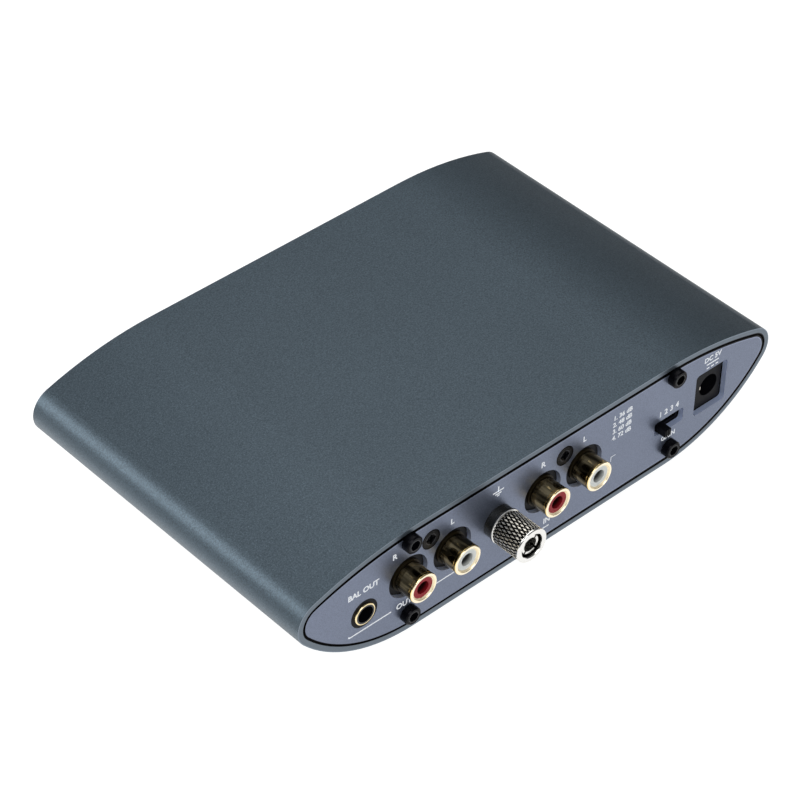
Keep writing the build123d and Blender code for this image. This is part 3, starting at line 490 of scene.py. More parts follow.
# ---- Finishes ----
def anodised_case(tones):
    """Bead-blasted and dyed, with machined ends that are lighter and carry a painted highlight along
    their outer edge.
    """
    recipe = Recipe("anodised_case")
    grain = recipe.noise(2.6, 3.0, 0.75)
    fleck = recipe.noise(4.5, 1.0, 0.5)
    cloud = recipe.noise(0.03, 2.0)
    rim = end_face(recipe)
    tool_marks = recipe.noise(1.0, 2.0, 0.6, recipe.stretched(recipe.mm, (2.5, 0.2, 2.5)))
    clear, wide = inset(recipe)
    spread = wide.maths("MINIMUM", 1.0) * CASE_SHADE_SPREAD
    # Painted shade: the case's inside and a band past its wall by the joint are painted black.
    joint_shade = (clear + spread).stepped(CASE_WALL - 0.10, CASE_WALL - 0.04)
    # Painted highlight: a band of the ends along the outer edge is painted up to 1.5 times lighter.
    corner = rim * (1 - clear.stepped(0.12, 0.34))
    case = recipe.shaded(tones.case, (grain - 0.5) * 1.9 + fleck.stepped(0.60, 0.74) * 0.6 + 0.97)
    case = recipe.shaded(case, cloud.between(0.94, 1.06))
    ends = recipe.shaded(tones.case_rim, tool_marks.between(0.9, 1.1) * corner.between(1.0, 1.5))
    height = grain * 0.6 + fleck * 0.4
    return recipe.finish(
        tone=recipe.mix(joint_shade, recipe.mix(rim, case, ends), JOINT_PAINTED_SHADE),
        metallic=rim.between(0.72, 0.85).maths("MAXIMUM", joint_shade),
        roughness=(fleck - 0.5) * 0.2 + (0.46 - rim * 0.06),
        normal=recipe.bump(height, 0.05 * MM, 0.6),
    )


def anodised_panel(tones):
    """Fine-blasted panels; the cut walls of their openings are painted lighter and less metallic,
    painted light for the light they catch.
    """
    recipe = Recipe("anodised_panel")
    grain = recipe.noise(3.5, 2.0, 0.6)
    cloud = recipe.noise(0.05, 2.0)
    cut = 1 - end_face(recipe)
    face = recipe.shaded(tones.panel, (grain - 0.5) * 0.9 + (cloud - 0.5) * 0.10 + 1.0)
    # Painted light: the cut walls take the panel colour 3.3 times lighter.
    painted_lit_wall = recipe.shaded(times(tones.panel, 3.3), grain.between(0.9, 1.1))
    clear, wide = inset(recipe)
    clear = clear - wide * PANEL_SHADE_SPREAD
    # Painted shade: the panel's edge and a band of its face by the joint are painted black.
    joint_shade = 1 - clear.stepped(PANEL_INSET + 0.08, PANEL_INSET + 0.14)
    # Painted highlight: a thin band of the face inside the joint is up to 1.5 times lighter where the
    # joint looks wide.
    edge = 1 - clear.stepped(PANEL_INSET + 0.29, PANEL_INSET + 0.45)
    face = recipe.shaded(face, (edge * wide.maths("MINIMUM", 1.0)).between(1.0, 1.5))
    return recipe.finish(
        tone=recipe.mix(joint_shade, recipe.mix(cut, face, painted_lit_wall), JOINT_PAINTED_SHADE),
        metallic=(0.75 - cut * 0.70).maths("MAXIMUM", joint_shade),
        roughness=(grain - 0.5) * 0.12 + (0.36 + cut * 0.02),
        normal=recipe.bump(grain, 0.02 * MM, 0.35),
    )


def polished_gold(tones):
    """Turned and plated sockets: black collars inside the panel, olive barrels with painted dark
    reflections in streaks, and painted highlights as pale front lips and bores and bright bevels.
    """
    recipe = Recipe("polished_gold")
    lathe = recipe.turning(9.0)
    smudge = recipe.noise(0.6, 3.0, 0.6)
    dark_reflection_streak = recipe.noise(0.55, 2.0, 0.6, recipe.stretched(recipe.mm, (1.0, 0.12, 1.0)))
    away = lowest([recipe.radius(middle(f"{socket}_shell")) for socket in SOCKETS])
    depth = recipe.split(recipe.mm)[1] - REAR_FACE / MM
    outside = depth.stepped(-0.15, 0.2)
    facing = recipe.split(recipe.place["Normal"])[1]
    # Painted highlight: the bore's inner wall and the front lips take the pale lip colour, the bevels
    # the bright edge colour.
    bore = (1 - away.stepped(BORE_RADIUS + 0.3, BORE_RADIUS + 0.45)) * outside
    lip = facing.stepped(0.6, 0.8).maths("MAXIMUM", bore) * outside
    edge = facing.stepped(0.08, 0.3) * outside
    # Painted reflection: dark streaks along the barrels stand for the dark holes and panel they mirror.
    barrel = recipe.mix(dark_reflection_streak.stepped(0.40, 0.60), times(tones.gold, 0.12), times(tones.gold, 0.86))
    bevel = recipe.mix(edge, barrel, tones.edge)
    plating = recipe.mix(lip, bevel, tones.lip)
    return recipe.finish(
        tone=recipe.mix(outside, times(tones.gold, 0.03), plating),
        metallic=outside.between(0.2, 1.0),
        roughness=smudge.between(0.07, 0.2) + (1 - outside) * 0.3 + lip * 0.1 + bore * 0.42,
        normal=recipe.bump(lathe, 0.004 * MM, 0.5),
        gloss=0.10,
    )


def balanced_gold(tones):
    """Plated ring; inside a radius of about 2.7 mm, across its bore wall and the inner edge of its face,
    it is painted near black.
    """
    recipe = Recipe("balanced_gold")
    smudge = recipe.noise(0.8, 3.0, 0.6)
    away = recipe.radius(middle("balanced_socket_ring"))
    # Inside this radius the ring is painted near black, which makes its bore look wider.
    plated = away.stepped(2.66, 2.78)
    plating = tuple((edge + lip) / 2 for edge, lip in zip(tones.edge, tones.lip))
    return recipe.finish(
        tone=recipe.mix(plated, times(tones.black, 1.2), plating),
        metallic=plated,
        roughness=smudge.between(0.12, 0.28),
        normal=recipe.bump(smudge, 0.01 * MM, 0.3),
    )


def insulator(name, tone):
    """Moulded insulator whose hole gets darker towards its root, as painted shade."""
    recipe = Recipe(name)
    grain = recipe.noise(3.0, 3.0, 0.6)
    depth = recipe.split(recipe.mm)[1] - INSULATOR[1].y / MM
    # Painted shade: behind the front the insulator darkens to 7 % of its colour.
    deep = 1 - depth.stepped(-1.5, -0.1)
    shade = (grain - 0.5) * 0.1 + (1.0 - deep * 0.93)
    return recipe.finish(
        tone=recipe.shaded(tone, shade),
        roughness=grain.between(0.38, 0.52),
        normal=recipe.bump(grain, 0.01 * MM, 0.4),
        gloss=0.25,
    )


def turned_nickel(tones, crest_radius, knurl_from, knurl_to):
    """Plated nickel: the knurl's valleys are painted near black as shade; its crests, in a patchy worn
    tint, and the plain ends stay bright.
    """
    recipe = Recipe("turned_nickel")
    crest = recipe.radius(KNOB).stepped(crest_radius - 0.13, crest_radius - 0.03)
    depth = recipe.split(recipe.mm)[1]
    flange = 1 - depth.stepped(knurl_from - 0.1, knurl_from)
    plain = depth.stepped(knurl_to - 0.1, knurl_to).maths("MAXIMUM", flange)
    bright = crest.maths("MAXIMUM", plain)
    smudge = recipe.noise(0.9, 3.0, 0.6)
    wear = recipe.noise(1.6, 2.0, 0.6)
    lathe = recipe.turning(8.0)
    worn = (1.14 * tones.nickel[0], 1.10 * tones.nickel[1], 1.02 * tones.nickel[2])
    knurl = recipe.mix(wear.stepped(0.35, 0.65), times(worn, 0.82), worn)
    metal = recipe.mix(plain, knurl, tones.nickel)
    # Painted shade: away from the crests and plain ends the nickel is painted at 2 % of its colour.
    tone = recipe.mix(bright, times(tones.nickel, 0.02), metal)
    return recipe.finish(
        tone=recipe.shaded(tone, smudge.between(0.92, 1.06)),
        metallic=1.0,
        roughness=smudge.between(0.14, 0.28) + (1 - plain) * 0.24,
        normal=recipe.bump(lathe, 0.003 * MM, 0.4),
    )


def plain_nickel(tones):
    """Plated nickel without the knurl's dark valleys."""
    recipe = Recipe("plain_nickel")
    smudge = recipe.noise(0.9, 3.0, 0.6)
    lathe = recipe.turning(8.0)
    return recipe.finish(
        tone=recipe.shaded(tones.nickel, smudge.between(0.92, 1.06)),
        metallic=1.0,
        roughness=smudge.between(0.16, 0.32),
        normal=recipe.bump(lathe, 0.003 * MM, 0.4),
    )


def edged_washer(tones):
    """Dark washer whose outer edge, where it meets the knob, carries a painted highlight in near white.
    """
    recipe = Recipe("edged_washer")
    depth = recipe.split(recipe.mm)[1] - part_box("ground_washer")[0].y / MM
    bright = depth.stepped(0.36, 0.46)
    smudge = recipe.noise(0.9, 3.0, 0.6)
    # Painted highlight: the band next to the knob is near white and hardly metallic.
    tone = recipe.mix(bright, times(tones.nickel, 0.12), (1.0, 0.99, 0.96))
    return recipe.finish(
        tone=recipe.shaded(tone, smudge.between(0.94, 1.04)),
        metallic=bright.between(0.9, 0.2),
        roughness=smudge.between(0.22, 0.38),
        normal=recipe.bump(smudge, 0.006 * MM, 0.4),
    )


def blackened(name, tones, axes=(), rings=()):
    """Black-oxide steel with painted highlights: lighter (inner, outer, lightness) rings round the given
    axes.
    """
    recipe = Recipe(name)
    grain = recipe.noise(3.0, 3.0, 0.65)
    tone = tones.black
    # Painted highlight: each ring on the end faces is lightened to its lightness.
    for inner, outer, lightness in rings:
        away = lowest([recipe.radius(centre) for centre in axes])
        inside = 1 - away.stepped(outer - 0.05, outer + 0.05)
        ring = away.stepped(inner - 0.05, inner + 0.05) * inside * end_face(recipe)
        tone = recipe.mix(ring, tone, (lightness, lightness, 1.05 * lightness))
    return recipe.finish(
        tone=recipe.shaded(tone, grain.between(0.6, 1.4)),
        metallic=0.2,
        roughness=grain.between(0.18, 0.34),
        normal=recipe.bump(grain, 0.015 * MM, 0.5),
        gloss=0.06,
    )


def moulded(name, tone, roughness, grain_per_mm=3.0, swing=0.12, depth=0.012, gloss=0.18):
    """Moulded plastic or rubber with a fine grain."""
    recipe = Recipe(name)
    grain = recipe.noise(grain_per_mm, 3.0, 0.6)
    patch = recipe.noise(0.35, 2.0)
    field = (grain - 0.5) * swing * 2 + (patch - 0.5) * swing + 1.0
    return recipe.finish(
        tone=recipe.shaded(tone, field),
        roughness=(grain - 0.5) * 0.2 + (patch - 0.5) * 0.14 + roughness,
        normal=recipe.bump(grain, depth * MM, 0.5),
        gloss=gloss,
    )


def brushed(name, tone, roughness, stretch, metallic=1.0):
    """Metal with fine lines, long in the direction whose factor is small."""
    recipe = Recipe(name)
    lines = recipe.noise(1.0, 3.0, 0.65, recipe.stretched(recipe.mm, stretch))
    smudge = recipe.noise(0.5, 2.0)
    return recipe.finish(
        tone=recipe.shaded(tone, lines.between(0.86, 1.14)),
        metallic=metallic,
        roughness=(lines - 0.5) * 0.2 + (smudge - 0.5) * 0.12 + roughness,
        normal=recipe.bump(lines, 0.006 * MM, 0.5),
    )


def turned_dial(tones):
    """Dyed dial with turned rings on its face and a pale pointer."""
    recipe = Recipe("turned_dial")
    away = recipe.radius(DIAL)
    rings = (away * 38.0).sine()
    grain = recipe.noise(4.0, 2.0, 0.6)
    face = end_face(recipe)
    across, deep, up = recipe.split(recipe.mm)
    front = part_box("load_dial")[0].y / MM
    in_line = 1 - (across - DIAL.x / MM).size().stepped(0.46, 0.50)
    above = (up - DIAL.z / MM).stepped(5.9, 6.0)
    sunk = (deep - front).stepped(0.03, 0.08) * (1 - (deep - front).stepped(0.32, 0.36))
    pointer = in_line * above * sunk
    dyed = recipe.shaded(tones.case, (grain - 0.5) * 0.3 + rings * face * 0.08 + 1.0)
    return recipe.finish(
        tone=recipe.mix(pointer, dyed, tones.ink),
        metallic=(1 - pointer) * 0.8,
        roughness=(grain - 0.5) * 0.15 + rings * face * 0.04 + 0.36,
        normal=recipe.bump(rings * face * 0.5 + grain * 0.3, 0.006 * MM, 0.5),
    )


def solder_mask():
    """Green lacquer over a glass-cloth board."""
    recipe = Recipe("solder_mask")
    tracks = recipe.noise(0.8, 1.0, 0.4, recipe.stretched(recipe.mm, (1.0, 0.25, 1.0)))
    weave = recipe.noise(3.0, 2.0)
    tone = recipe.mix(tracks.stepped(0.5, 0.54), (0.008, 0.05, 0.028), (0.014, 0.085, 0.045))
    return recipe.finish(
        tone=recipe.shaded(tone, weave.between(0.9, 1.1)),
        roughness=weave.between(0.25, 0.45),
        normal=recipe.bump(tracks.stepped(0.48, 0.56), 0.02 * MM, 0.5),
    )


def light_rod():
    """Clear rod with faint clouding, which looks pale from outside."""
    recipe = Recipe("light_rod")
    cloud = recipe.noise(1.2, 2.0)
    return recipe.finish(
        tone=recipe.mix(cloud, (0.72, 0.75, 0.78), (0.84, 0.86, 0.88)),
        roughness=cloud.between(0.08, 0.22),
        normal=recipe.bump(cloud, 0.01 * MM, 0.4),
    )


def printed_ink(name, tones):
    """Matt screen-printed ink with tiny thin spots, which also glows faintly as painted light that makes
    it whiter.
    """
    recipe = Recipe(name)
    thin = recipe.noise(9.0, 2.0, 0.6)
    return recipe.finish(
        tone=recipe.shaded(tones.ink, thin.between(0.9, 1.06)),
        roughness=thin.between(0.45, 0.65),
        normal=recipe.bump(thin, 0.006 * MM, 0.4),
        # Painted light: the ink glows at strength 0.22 though it is no lamp.
        glow=(0.80, 0.90, 1.0),
        glow_strength=0.22,
    )


# ---- Modelling ----
def deselect_all():
    """Leaves edit mode and clears the selection."""
    if bpy.context.object and bpy.context.object.mode != "OBJECT":
        bpy.ops.object.mode_set(mode="OBJECT")
    bpy.ops.object.select_all(action="DESELECT")


def select_only(*things):
    """Selects these objects and makes the first of them active."""
    deselect_all()
    for thing in things:
        thing.select_set(True)
    bpy.context.view_layer.objects.active = things[0]


def seat(piece, name, material, body):
    """Applies a piece's place, then gives it its name, finish, slot and body."""
    select_only(piece)
    bpy.ops.object.transform_apply(location=True, rotation=True, scale=True)
    piece.name = name
    piece.data.name = name
    piece.data.materials.clear()
    piece.data.materials.append(material)
    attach(piece, body)


def joined(pieces):
    """One object made of several."""
    select_only(*pieces)
    bpy.ops.object.join()
    return bpy.context.object


def choose(piece, kind, wanted):
    """Selects, in edit mode, the faces or edges that the test wants, and nothing else."""
    bpy.ops.mesh.select_all(action="DESELECT")
    bpy.ops.object.mode_set(mode="OBJECT")
    for element in getattr(piece.data, kind):
        element.select = wanted(element)
    bpy.ops.object.mode_set(mode="EDIT")


def turned(centre, stations, segments):
    """A turned piece about an axis along Y: a ring drawn out through (depth, radius) stations."""
    (depth, radius), *rest = stations
    deselect_all()
    bpy.ops.mesh.primitive_circle_add(
        vertices=segments,
        radius=radius,
        location=(centre.x, depth, centre.z),
        rotation=(math.pi / 2, 0, 0),
    )
    piece = bpy.context.object
    bpy.ops.object.transform_apply(location=True, rotation=True, scale=True)
    bpy.ops.object.mode_set(mode="EDIT")
    bpy.ops.mesh.select_mode(type="EDGE")
    bpy.ops.mesh.select_all(action="SELECT")
    for next_depth, next_radius in rest:
        step = {"value": (0, next_depth - depth, 0)}
        bpy.ops.mesh.extrude_region_move(TRANSFORM_OT_translate=step)
        grow = next_radius / radius
        bpy.ops.transform.resize(value=(grow, 1, grow), center_override=(centre.x, next_depth, centre.z))
        depth, radius = next_depth, next_radius
    bpy.ops.mesh.select_all(action="SELECT")
    bpy.ops.mesh.remove_doubles(threshold=1e-6)
    bpy.ops.mesh.normals_make_consistent(inside=False)
    bpy.ops.object.mode_set(mode="OBJECT")
    bpy.ops.object.shade_smooth_by_angle(angle=math.radians(35))
    return piece


def head_axes(node, radius):
    """Axes of round heads that reach the corners of a node's box; their radius is in millimetres."""
    low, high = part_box(node)
    inwards = Vector((1, 0, 1)) * radius * MM
    low, high = low + inwards, high - inwards
    return [Vector((x, 0, z)) for x in (low.x, high.x) for z in (low.z, high.z)]


class PREAMP_OT_finish_nodes(bpy.types.Operator):
    """Gives every carried-over piece its finish"""

    bl_idname = "preamp.finish_nodes"
    bl_label = "Finish the carried-over pieces"

    def execute(self, context):
        tones = context.scene.preamp_finish
        black = moulded("black_plastic", tones.black, 0.42, gloss=0.08)
        low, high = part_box("jack_screws")
        jack = (high.z - low.z) / 2 / MM
        # Painted highlight rings on the screw heads' end faces.
        jack_highlight_rings = ((0.45 * jack, 0.84 * jack, 0.024), (0.48 * jack, 0.57 * jack, 0.08))
        jack_steel = blackened("jack_steel", tones, head_axes("jack_screws", jack), jack_highlight_rings)
        hex_axes = head_axes("rear_panel_screws", PANEL_SCREW_HEAD / 2)
        hex_highlight_rings = ((1.40, 1.62, 0.07),)
        contact = brushed("contact_metal", (0.55, 0.52, 0.47), 0.28, (2.0, 0.3, 2.0))
        plain = brushed("plain_metal", (0.5, 0.5, 0.51), 0.3, (2.0, 0.3, 2.0))
        chip = moulded("chip_black", (0.02, 0.02, 0.021), 0.5)
        board = solder_mask()
        gold = polished_gold(tones)
        nickel = plain_nickel(tones)
        panel = anodised_panel(tones)
        finishes = {
            "case_sleeve": anodised_case(tones),
            "rear_panel": panel,
            "front_panel": panel,
            "load_dial": turned_dial(tones),
            "balanced_socket_ring": balanced_gold(tones),
            "jack_screws": jack_steel,
            "rear_panel_screws": blackened("screw_steel", tones, hex_axes, hex_highlight_rings),
            "indicator_lights": moulded("light_source", (0.7, 0.7, 0.64), 0.3),
            "light_guides": light_rod(),
            "film_capacitors": moulded("film_coating", (0.42, 0.09, 0.03), 0.22, 2.0),
            "supply_capacitors": brushed("can_sleeve", (0.03, 0.03, 0.07), 0.3, (0.4, 0.4, 2.0), 0.3),
            "rubber_feet": moulded("foot_rubber", (0.018, 0.018, 0.018), 0.75, 2.5, 0.2, 0.03),
            "ground_collar": brushed("dark_collar", (0.11, 0.105, 0.09), 0.26, (1.0, 2.0, 1.0), 0.9),
            "ground_washer": edged_washer(tones),
        }
        seal = moulded("seal_rubber", (0.0015, 0.0015, 0.002), 0.7, gloss=0.05)
        button = brushed("button_metal", tones.panel, 0.33, (2.5, 0.4, 2.5), 0.75)
        groups = {
            seal: ("rear_seal", "front_seal"),
            button: ("power_button", "filter_button"),
            board: ("main_board", "front_board"),
            blackened("black_steel", tones): ("gain_switch_cover",),
            nickel: ("ground_stud", "ground_knob"),
            plain: ("load_shaft", "load_switch", "load_switch_nut", "power_shield"),
            chip: ("amplifier_chips", "control_chip", "power_inductor", "mute_relays"),
            contact: (
                "balanced_contacts",
                "power_socket_pin",
                "power_socket_spring",
                "ground_lug",
                "ground_nut",
                *[f"{socket}_contact" for socket in SOCKETS],
            ),
            gold: [f"{socket}_shell" for socket in SOCKETS],
            insulator("red_plastic", tones.red): [f"{s}_insulator" for s in SOCKETS if "right" in s],
            insulator("white_plastic", tones.white): [f"{s}_insulator" for s in SOCKETS if "left" in s],
        }
        for material, names in groups.items():
            for name in names:
                finishes[name] = material
        for name, node in NODES.items():
            material = finishes.get(name, black)
            for index in range(len(node.data.materials)):
                node.data.materials[index] = material
        return {"FINISHED"}


class PREAMP_OT_knurl_knob(bpy.types.Operator):
    """Models the knurled ground knob, with its polished ring and mouth"""

    bl_idname = "preamp.knurl_knob"
    bl_label = "Knurl the ground knob"

    def execute(self, context):
        sizes = context.scene.preamp_knurl
        low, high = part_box("ground_knob")
        back, front = low.y, high.y
        ring = (high.x - low.x) / 2
        sink = 0.05 * MM
        skin = 0.02 * MM
        crest = ring - sink
        root = crest - sizes.depth
        shoulder = front - sizes.ring_length
        flange_end = back + sizes.flange
        length_along = shoulder - flange_end
        deselect_all()
        bpy.ops.mesh.primitive_cylinder_add(
            vertices=sizes.around,
            radius=root,
            depth=length_along,
            end_fill_type="NOTHING",
            location=(KNOB.x, (flange_end + shoulder) / 2, KNOB.z),
            rotation=(math.pi / 2, 0, 0),
        )
        band = bpy.context.object
        bpy.ops.object.transform_apply(location=True, rotation=True, scale=True)
        bpy.ops.object.mode_set(mode="EDIT")
        bpy.ops.mesh.select_mode(type="EDGE")
        points = band.data.vertices

        def runs_along(edge):
            first, second = (points[index].co for index in edge.vertices)
            return abs(first.y - second.y) > length_along / 2

        choose(band, "edges", runs_along)
        bpy.ops.mesh.subdivide(number_cuts=sizes.along - 1, quadcorner="STRAIGHT_CUT")
        bpy.ops.mesh.select_all(action="SELECT")
        bpy.ops.object.mode_set(mode="OBJECT")
        corners = {tuple(round(v, 9) for v in vertex.co) for vertex in band.data.vertices}
        bpy.ops.object.mode_set(mode="EDIT")
        bpy.ops.mesh.poke(offset=root * (1 - math.cos(math.pi / sizes.around)))
        bpy.ops.object.mode_set(mode="OBJECT")
        is_corner = [tuple(round(v, 9) for v in vertex.co) in corners for vertex in band.data.vertices]
        end_depths = (flange_end, shoulder)

        def between_corners(edge):
            first, second = edge.vertices
            if not (is_corner[first] and is_corner[second]):
                return False
            depths = [band.data.vertices[index].co.y for index in edge.vertices]
            return not any(max(abs(depth - end) for depth in depths) < 1e-6 for end in end_depths)

        bpy.ops.object.mode_set(mode="EDIT")
        choose(band, "edges", between_corners)
        bpy.ops.mesh.dissolve_edges(use_verts=False)
        bpy.ops.mesh.select_mode(type="FACE")
        bpy.ops.mesh.select_all(action="SELECT")
        bpy.ops.mesh.normals_make_consistent(inside=False)
        bpy.ops.mesh.inset(thickness=sizes.land, depth=sizes.depth, use_individual=True)
        bpy.ops.object.mode_set(mode="OBJECT")
        inner = sizes.bore_radius
        mouth = sizes.mouth_radius
        bend = sizes.ring_round
        rounded = [
            (front - bend * (1 - math.sin(turn)), ring - bend * (1 - math.cos(turn)))
            for turn in (math.radians(15 * step) for step in range(7))
        ]
        edge = 0.15 * MM
        stations = [
            (back, ring - edge),
            (back + edge / 2, ring - skin),
            (flange_end, root + sink),
            (shoulder - edge, root + sink),
            (shoulder, ring - skin),
            *rounded,
            (front, mouth + edge),
            (front - edge, mouth),
            (front - sizes.mouth_depth, mouth),
            (front - sizes.mouth_depth, inner + edge),
            (front - sizes.mouth_depth - edge, inner),
            (back, inner),
            (back, ring - edge),
        ]
        body = turned(KNOB, stations, 4 * sizes.around)
        knob = joined([body, band])
        finish = turned_nickel(context.scene.preamp_finish, crest / MM, flange_end / MM, shoulder / MM)
        seat(knob, "ground_knob_knurled", finish, "ground_knob")
        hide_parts("ground_knob")
        return {"FINISHED"}


class Printer:
    """Makes flat ink marks on the rear or the front panel, placed in millimetres."""

    def __init__(self, sizes, face, turn):
        self.proud = sizes.proud
        self.line = sizes.line / MM
        self.letter = sizes.letter / MM
        self.face = face
        self.turn = turn
        self.out = 1 if face > 0 else -1
        self.pieces = []

    def words(self, body, x, z, share=1.0, align="CENTER"):
        """Words whose capitals are this share of the letter height tall."""
        height = share * self.letter
        deselect_all()
        bpy.ops.object.text_add(rotation=(math.pi / 2, 0, self.turn))
        piece = bpy.context.object
        piece.data.body = body
        piece.data.align_x = align
        piece.data.align_y = "CENTER"
        piece.data.size = height * MM / CAPITAL_SHARE
        piece.data.resolution_u = 3
        piece.data.extrude = self.proud
        piece.data.offset = BOLDEN * height * MM
        bpy.ops.object.convert(target="MESH")
        piece = bpy.context.object
        piece.location = (x * MM, self.face, z * MM)
        bpy.ops.object.transform_apply(location=True, rotation=True, scale=True)
        self.pieces.append(piece)

    def lines(self, rows):
        """The lines of a table, each set out from the middle of its piece."""
        for node, x0, x1, z0, z1 in rows:
            spot = middle(node) / MM
            self.oblong(spot.x + x0, spot.x + x1, spot.z + z0, spot.z + z1)

    def oblong(self, x0, x1, z0, z1):
        """Filled oblong, at least as thick as a line, drawn out of the panel."""
        wide = abs(x1 - x0) or self.line
        tall = abs(z1 - z0) or self.line
        deselect_all()
        place = ((x0 + x1) / 2 * MM, self.face, (z0 + z1) / 2 * MM)
        bpy.ops.mesh.primitive_plane_add(size=MM, location=place, rotation=(math.pi / 2, 0, self.turn))
        piece = bpy.context.object
        piece.scale = (wide, tall, 1)
        bpy.ops.object.transform_apply(location=True, rotation=True, scale=True)
        bpy.ops.object.mode_set(mode="EDIT")
        bpy.ops.mesh.select_all(action="SELECT")
        step = {"value": (0, self.out * self.proud, 0)}
        bpy.ops.mesh.extrude_region_move(TRANSFORM_OT_translate=step)
        bpy.ops.mesh.select_all(action="SELECT")
        bpy.ops.mesh.normals_make_consistent(inside=False)
        bpy.ops.object.mode_set(mode="OBJECT")
        self.pieces.append(piece)

    def ring(self, x, z, radius, gap):
        """Drawn circle, open at its top by the angle of gap on each side."""
        centre = Vector((x * MM, self.face, z * MM))
        low, high = (radius - self.line / 2) * MM, (radius + self.line / 2) * MM
        top = self.face + self.out * self.proud
        stations = [(self.face, low), (self.face, high), (top, high), (top, low), (self.face, low)]
        piece = turned(centre, stations, 48)
        bpy.ops.object.mode_set(mode="EDIT")
        bpy.ops.mesh.select_mode(type="FACE")

        def in_gap(face):
            away = face.center - centre
            return abs(math.atan2(away.x, away.z)) < gap

        choose(piece, "polygons", in_gap)
        bpy.ops.mesh.delete(type="FACE")
        bpy.ops.object.mode_set(mode="OBJECT")
        self.pieces.append(piece)

    def finish(self, name, ink):
        """Joins the marks into one printed piece that rides on the case."""
        seat(joined(self.pieces), name, ink, "case")


class PREAMP_OT_print_rear(bpy.types.Operator):
    """Prints the plain marks on the rear panel"""

    bl_idname = "preamp.print_rear"
    bl_label = "Print the rear marks"

    def execute(self, context):
        rear = Printer(context.scene.preamp_marks, REAR_FACE, math.pi)
        for text, node, across, up, share_of_letter, align in REAR_WORDS:
            spot = middle(node) / MM
            rear.words(text, spot.x + across, spot.z + up, share_of_letter, align)
        rear.lines(REAR_LINES)
        rear.finish("rear_marks", printed_ink("rear_ink", context.scene.preamp_finish))
        return {"FINISHED"}


class PREAMP_OT_print_front(bpy.types.Operator):
    """Prints the dial's numbers and the plain marks on the front panel"""

    bl_idname = "preamp.print_front"
    bl_label = "Print the front marks"

    def execute(self, context):
        front = Printer(context.scene.preamp_marks, FRONT_FACE, 0.0)
        dial = DIAL / MM
        for step in range(7):
            turn = math.radians(-90 + 30 * step)
            across = DIAL_NUMBERS_RADIUS * math.sin(turn)
            up = DIAL_NUMBERS_RADIUS * math.cos(turn)
            front.words(str(step), dial.x + across, dial.z + up)
        low, high = (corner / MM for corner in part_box("light_guides"))
        pitch = (high.x - GAIN_LIGHTS_FROM - (high.z - low.z) / 2) / 3
        for step in range(4):
            front.words(str(step + 1), GAIN_LIGHTS_FROM + pitch * step, high.z + 2.4)
        power = middle("power_button") / MM
        front.ring(power.x, power.z + 6.0, 1.1, math.radians(35))
        front.lines(FRONT_LINES)
        front.finish("front_marks", printed_ink("front_ink", context.scene.preamp_finish))
        return {"FINISHED"}


class PREAMP_OT_set_stage(bpy.types.Operator):
    """Sets the camera, the lamps, the sky and the floor"""

    bl_idname = "preamp.set_stage"
    bl_label = "Set the stage"

    def execute(self, context):
        stage = context.scene.preamp_stage
        place_camera(context, stage)
        lay_floor(stage)
        light_sky(context, stage)
        for row in SOFTBOXES:
            softbox(*row)
        context.scene.view_settings.view_transform = "Standard"
        return {"FINISHED"}


def place_camera(context, stage):
    """Camera on its target, turned by azimuth, elevation and roll."""
    turn, rise, roll = stage.azimuth, stage.elevation, stage.roll
    back = Vector(
        (math.sin(turn) * math.cos(rise), -math.cos(turn) * math.cos(rise), math.sin(rise))
    )
    right = Vector((math.cos(turn), math.sin(turn), 0))
    up = back.cross(right)
    tilted_right = math.cos(roll) * right + math.sin(roll) * up
    tilted_up = math.cos(roll) * up - math.sin(roll) * right
    deselect_all()
    bpy.ops.object.camera_add()
    camera = bpy.context.object
    axes = Matrix((tilted_right, tilted_up, back)).transposed()
    eye = Vector(stage.target) + back * stage.distance
    camera.matrix_world = Matrix.Translation(eye) @ axes.to_4x4()
    camera.data.lens = stage.lens
    camera.data.sensor_width = 36
    camera.data.clip_start = 0.01
    camera.name = "camera"
    context.scene.camera = camera


def softbox(name, place, aim, size, power):
    """Oblong soft lamp that looks at its aim and is itself unseen."""
    deselect_all()
    bpy.ops.object.light_add(type="AREA", location=place)
    lamp = bpy.context.object
    lamp.name = name
    lamp.rotation_euler = (Vector(aim) - Vector(place)).to_track_quat("-Z", "Y").to_euler()
    lamp.data.shape = "RECTANGLE"
    lamp.data.size, lamp.data.size_y = size
    lamp.data.energy = power
    lamp.visible_camera = False


def lay_floor(stage):
    """Wide pale floor that looks white, keeps the object's shadow and is clear from below."""
    deselect_all()
    bpy.ops.mesh.primitive_plane_add(size=40.0, location=(0, 0, -FLOOR_DROP))
    floor = bpy.context.object
    floor.name = "floor"
    recipe = Recipe("floor_paper")
    mottled = recipe.shaded(stage.floor, recipe.noise(0.01, 2.0).between(0.99, 1.01))
    paper = recipe.node("ShaderNodeBsdfDiffuse", None, {"Color": mottled})
    faint = times(stage.floor, stage.shadow)
    shadow = recipe.node("ShaderNodeBsdfDiffuse", None, {"Color": faint})
    white = {"Color": (1.0, 1.0, 1.0), "Strength": stage.glow}
    glow = recipe.node("ShaderNodeEmission", None, white)
    pale = recipe.node("ShaderNodeAddShader", None, {0: shadow[0], 1: glow[0]})
    chosen = recipe.node("ShaderNodeMixShader", None, {0: recipe.seen(), 1: paper[0], 2: pale[0]})
    below = recipe.node("ShaderNodeNewGeometry")["Backfacing"]
    clear = recipe.node("ShaderNodeBsdfTransparent")
    chosen = recipe.node("ShaderNodeMixShader", None, {0: below, 1: chosen[0], 2: clear[0]})
    recipe.node("ShaderNodeOutputMaterial", None, {"Surface": chosen[0]})
    floor.data.materials.append(recipe.material)


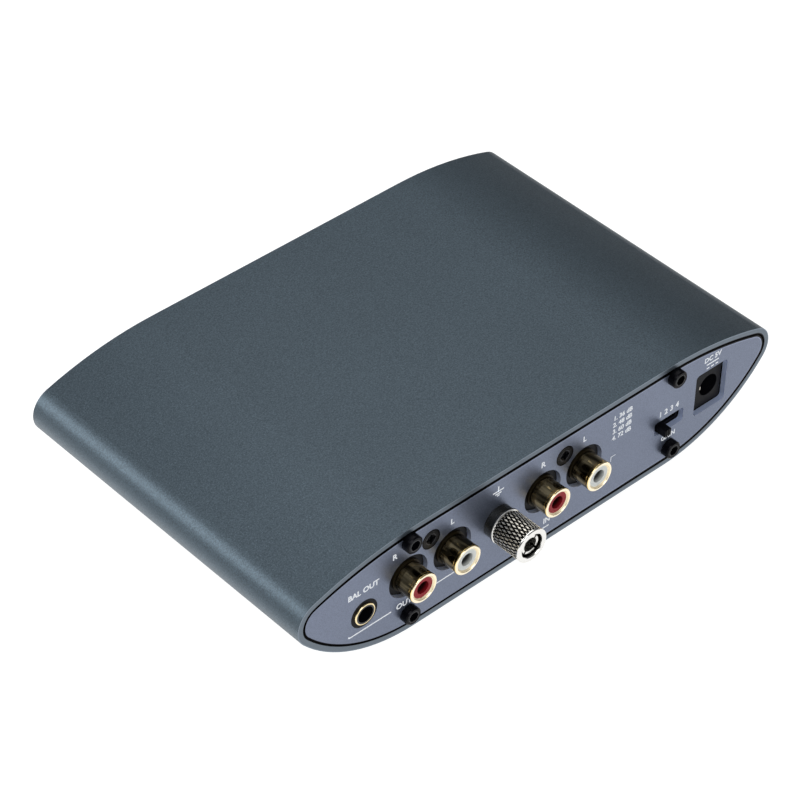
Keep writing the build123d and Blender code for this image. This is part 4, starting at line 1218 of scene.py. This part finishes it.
def light_sky(context, stage):
    """Even light from all round that looks white where it is seen."""
    world = bpy.data.worlds.new("studio")
    context.scene.world = world
    nodes = Nodes(world)
    cool = {"Color": (0.96, 0.98, 1.0), "Strength": stage.sky}
    even = nodes.node("ShaderNodeBackground", None, cool)
    white = nodes.node("ShaderNodeBackground", None, {"Color": (1.0, 1.0, 1.0), "Strength": 1.0})
    rays = nodes.node("ShaderNodeLightPath")
    seen = rays["Is Camera Ray"].maths("MAXIMUM", rays["Is Transmission Ray"])
    chosen = nodes.node("ShaderNodeMixShader", None, {0: seen, 1: even[0], 2: white[0]})
    nodes.node("ShaderNodeOutputWorld", None, {"Surface": chosen[0]})


STEPS = (
    PREAMP_OT_finish_nodes,
    PREAMP_OT_knurl_knob,
    PREAMP_OT_print_rear,
    PREAMP_OT_print_front,
    PREAMP_OT_set_stage,
)


class PREAMP_PT_steps(bpy.types.Panel):
    """Lists the sizes, the colours and the steps"""

    bl_idname = "PREAMP_PT_steps"
    bl_label = "Phono preamplifier"
    bl_space_type = "VIEW_3D"
    bl_region_type = "UI"
    bl_category = "Preamplifier"

    def draw(self, context):
        for group in GROUPS:
            box = self.layout.box()
            settings = getattr(context.scene, group)
            for name in settings.bl_rna.properties.keys():
                if name not in ("rna_type", "name"):
                    box.prop(settings, name)
        for step in STEPS:
            self.layout.operator(step.bl_idname)


def register():
    """Registers the settings, the steps and the panel."""
    for name, group in GROUPS.items():
        bpy.utils.register_class(group)
        setattr(bpy.types.Scene, name, bpy.props.PointerProperty(type=group))
    for step in STEPS:
        bpy.utils.register_class(step)
    bpy.utils.register_class(PREAMP_PT_steps)


def unregister():
    """Takes them away again."""
    bpy.utils.unregister_class(PREAMP_PT_steps)
    for step in reversed(STEPS):
        bpy.utils.unregister_class(step)
    for name, group in reversed(GROUPS.items()):
        delattr(bpy.types.Scene, name)
        bpy.utils.unregister_class(group)


def main():
    """Runs every step in order."""
    register()
    for step in STEPS:
        group, action = step.bl_idname.split(".")
        getattr(getattr(bpy.ops, group), action)()


if __name__ == "__main__":
    main()
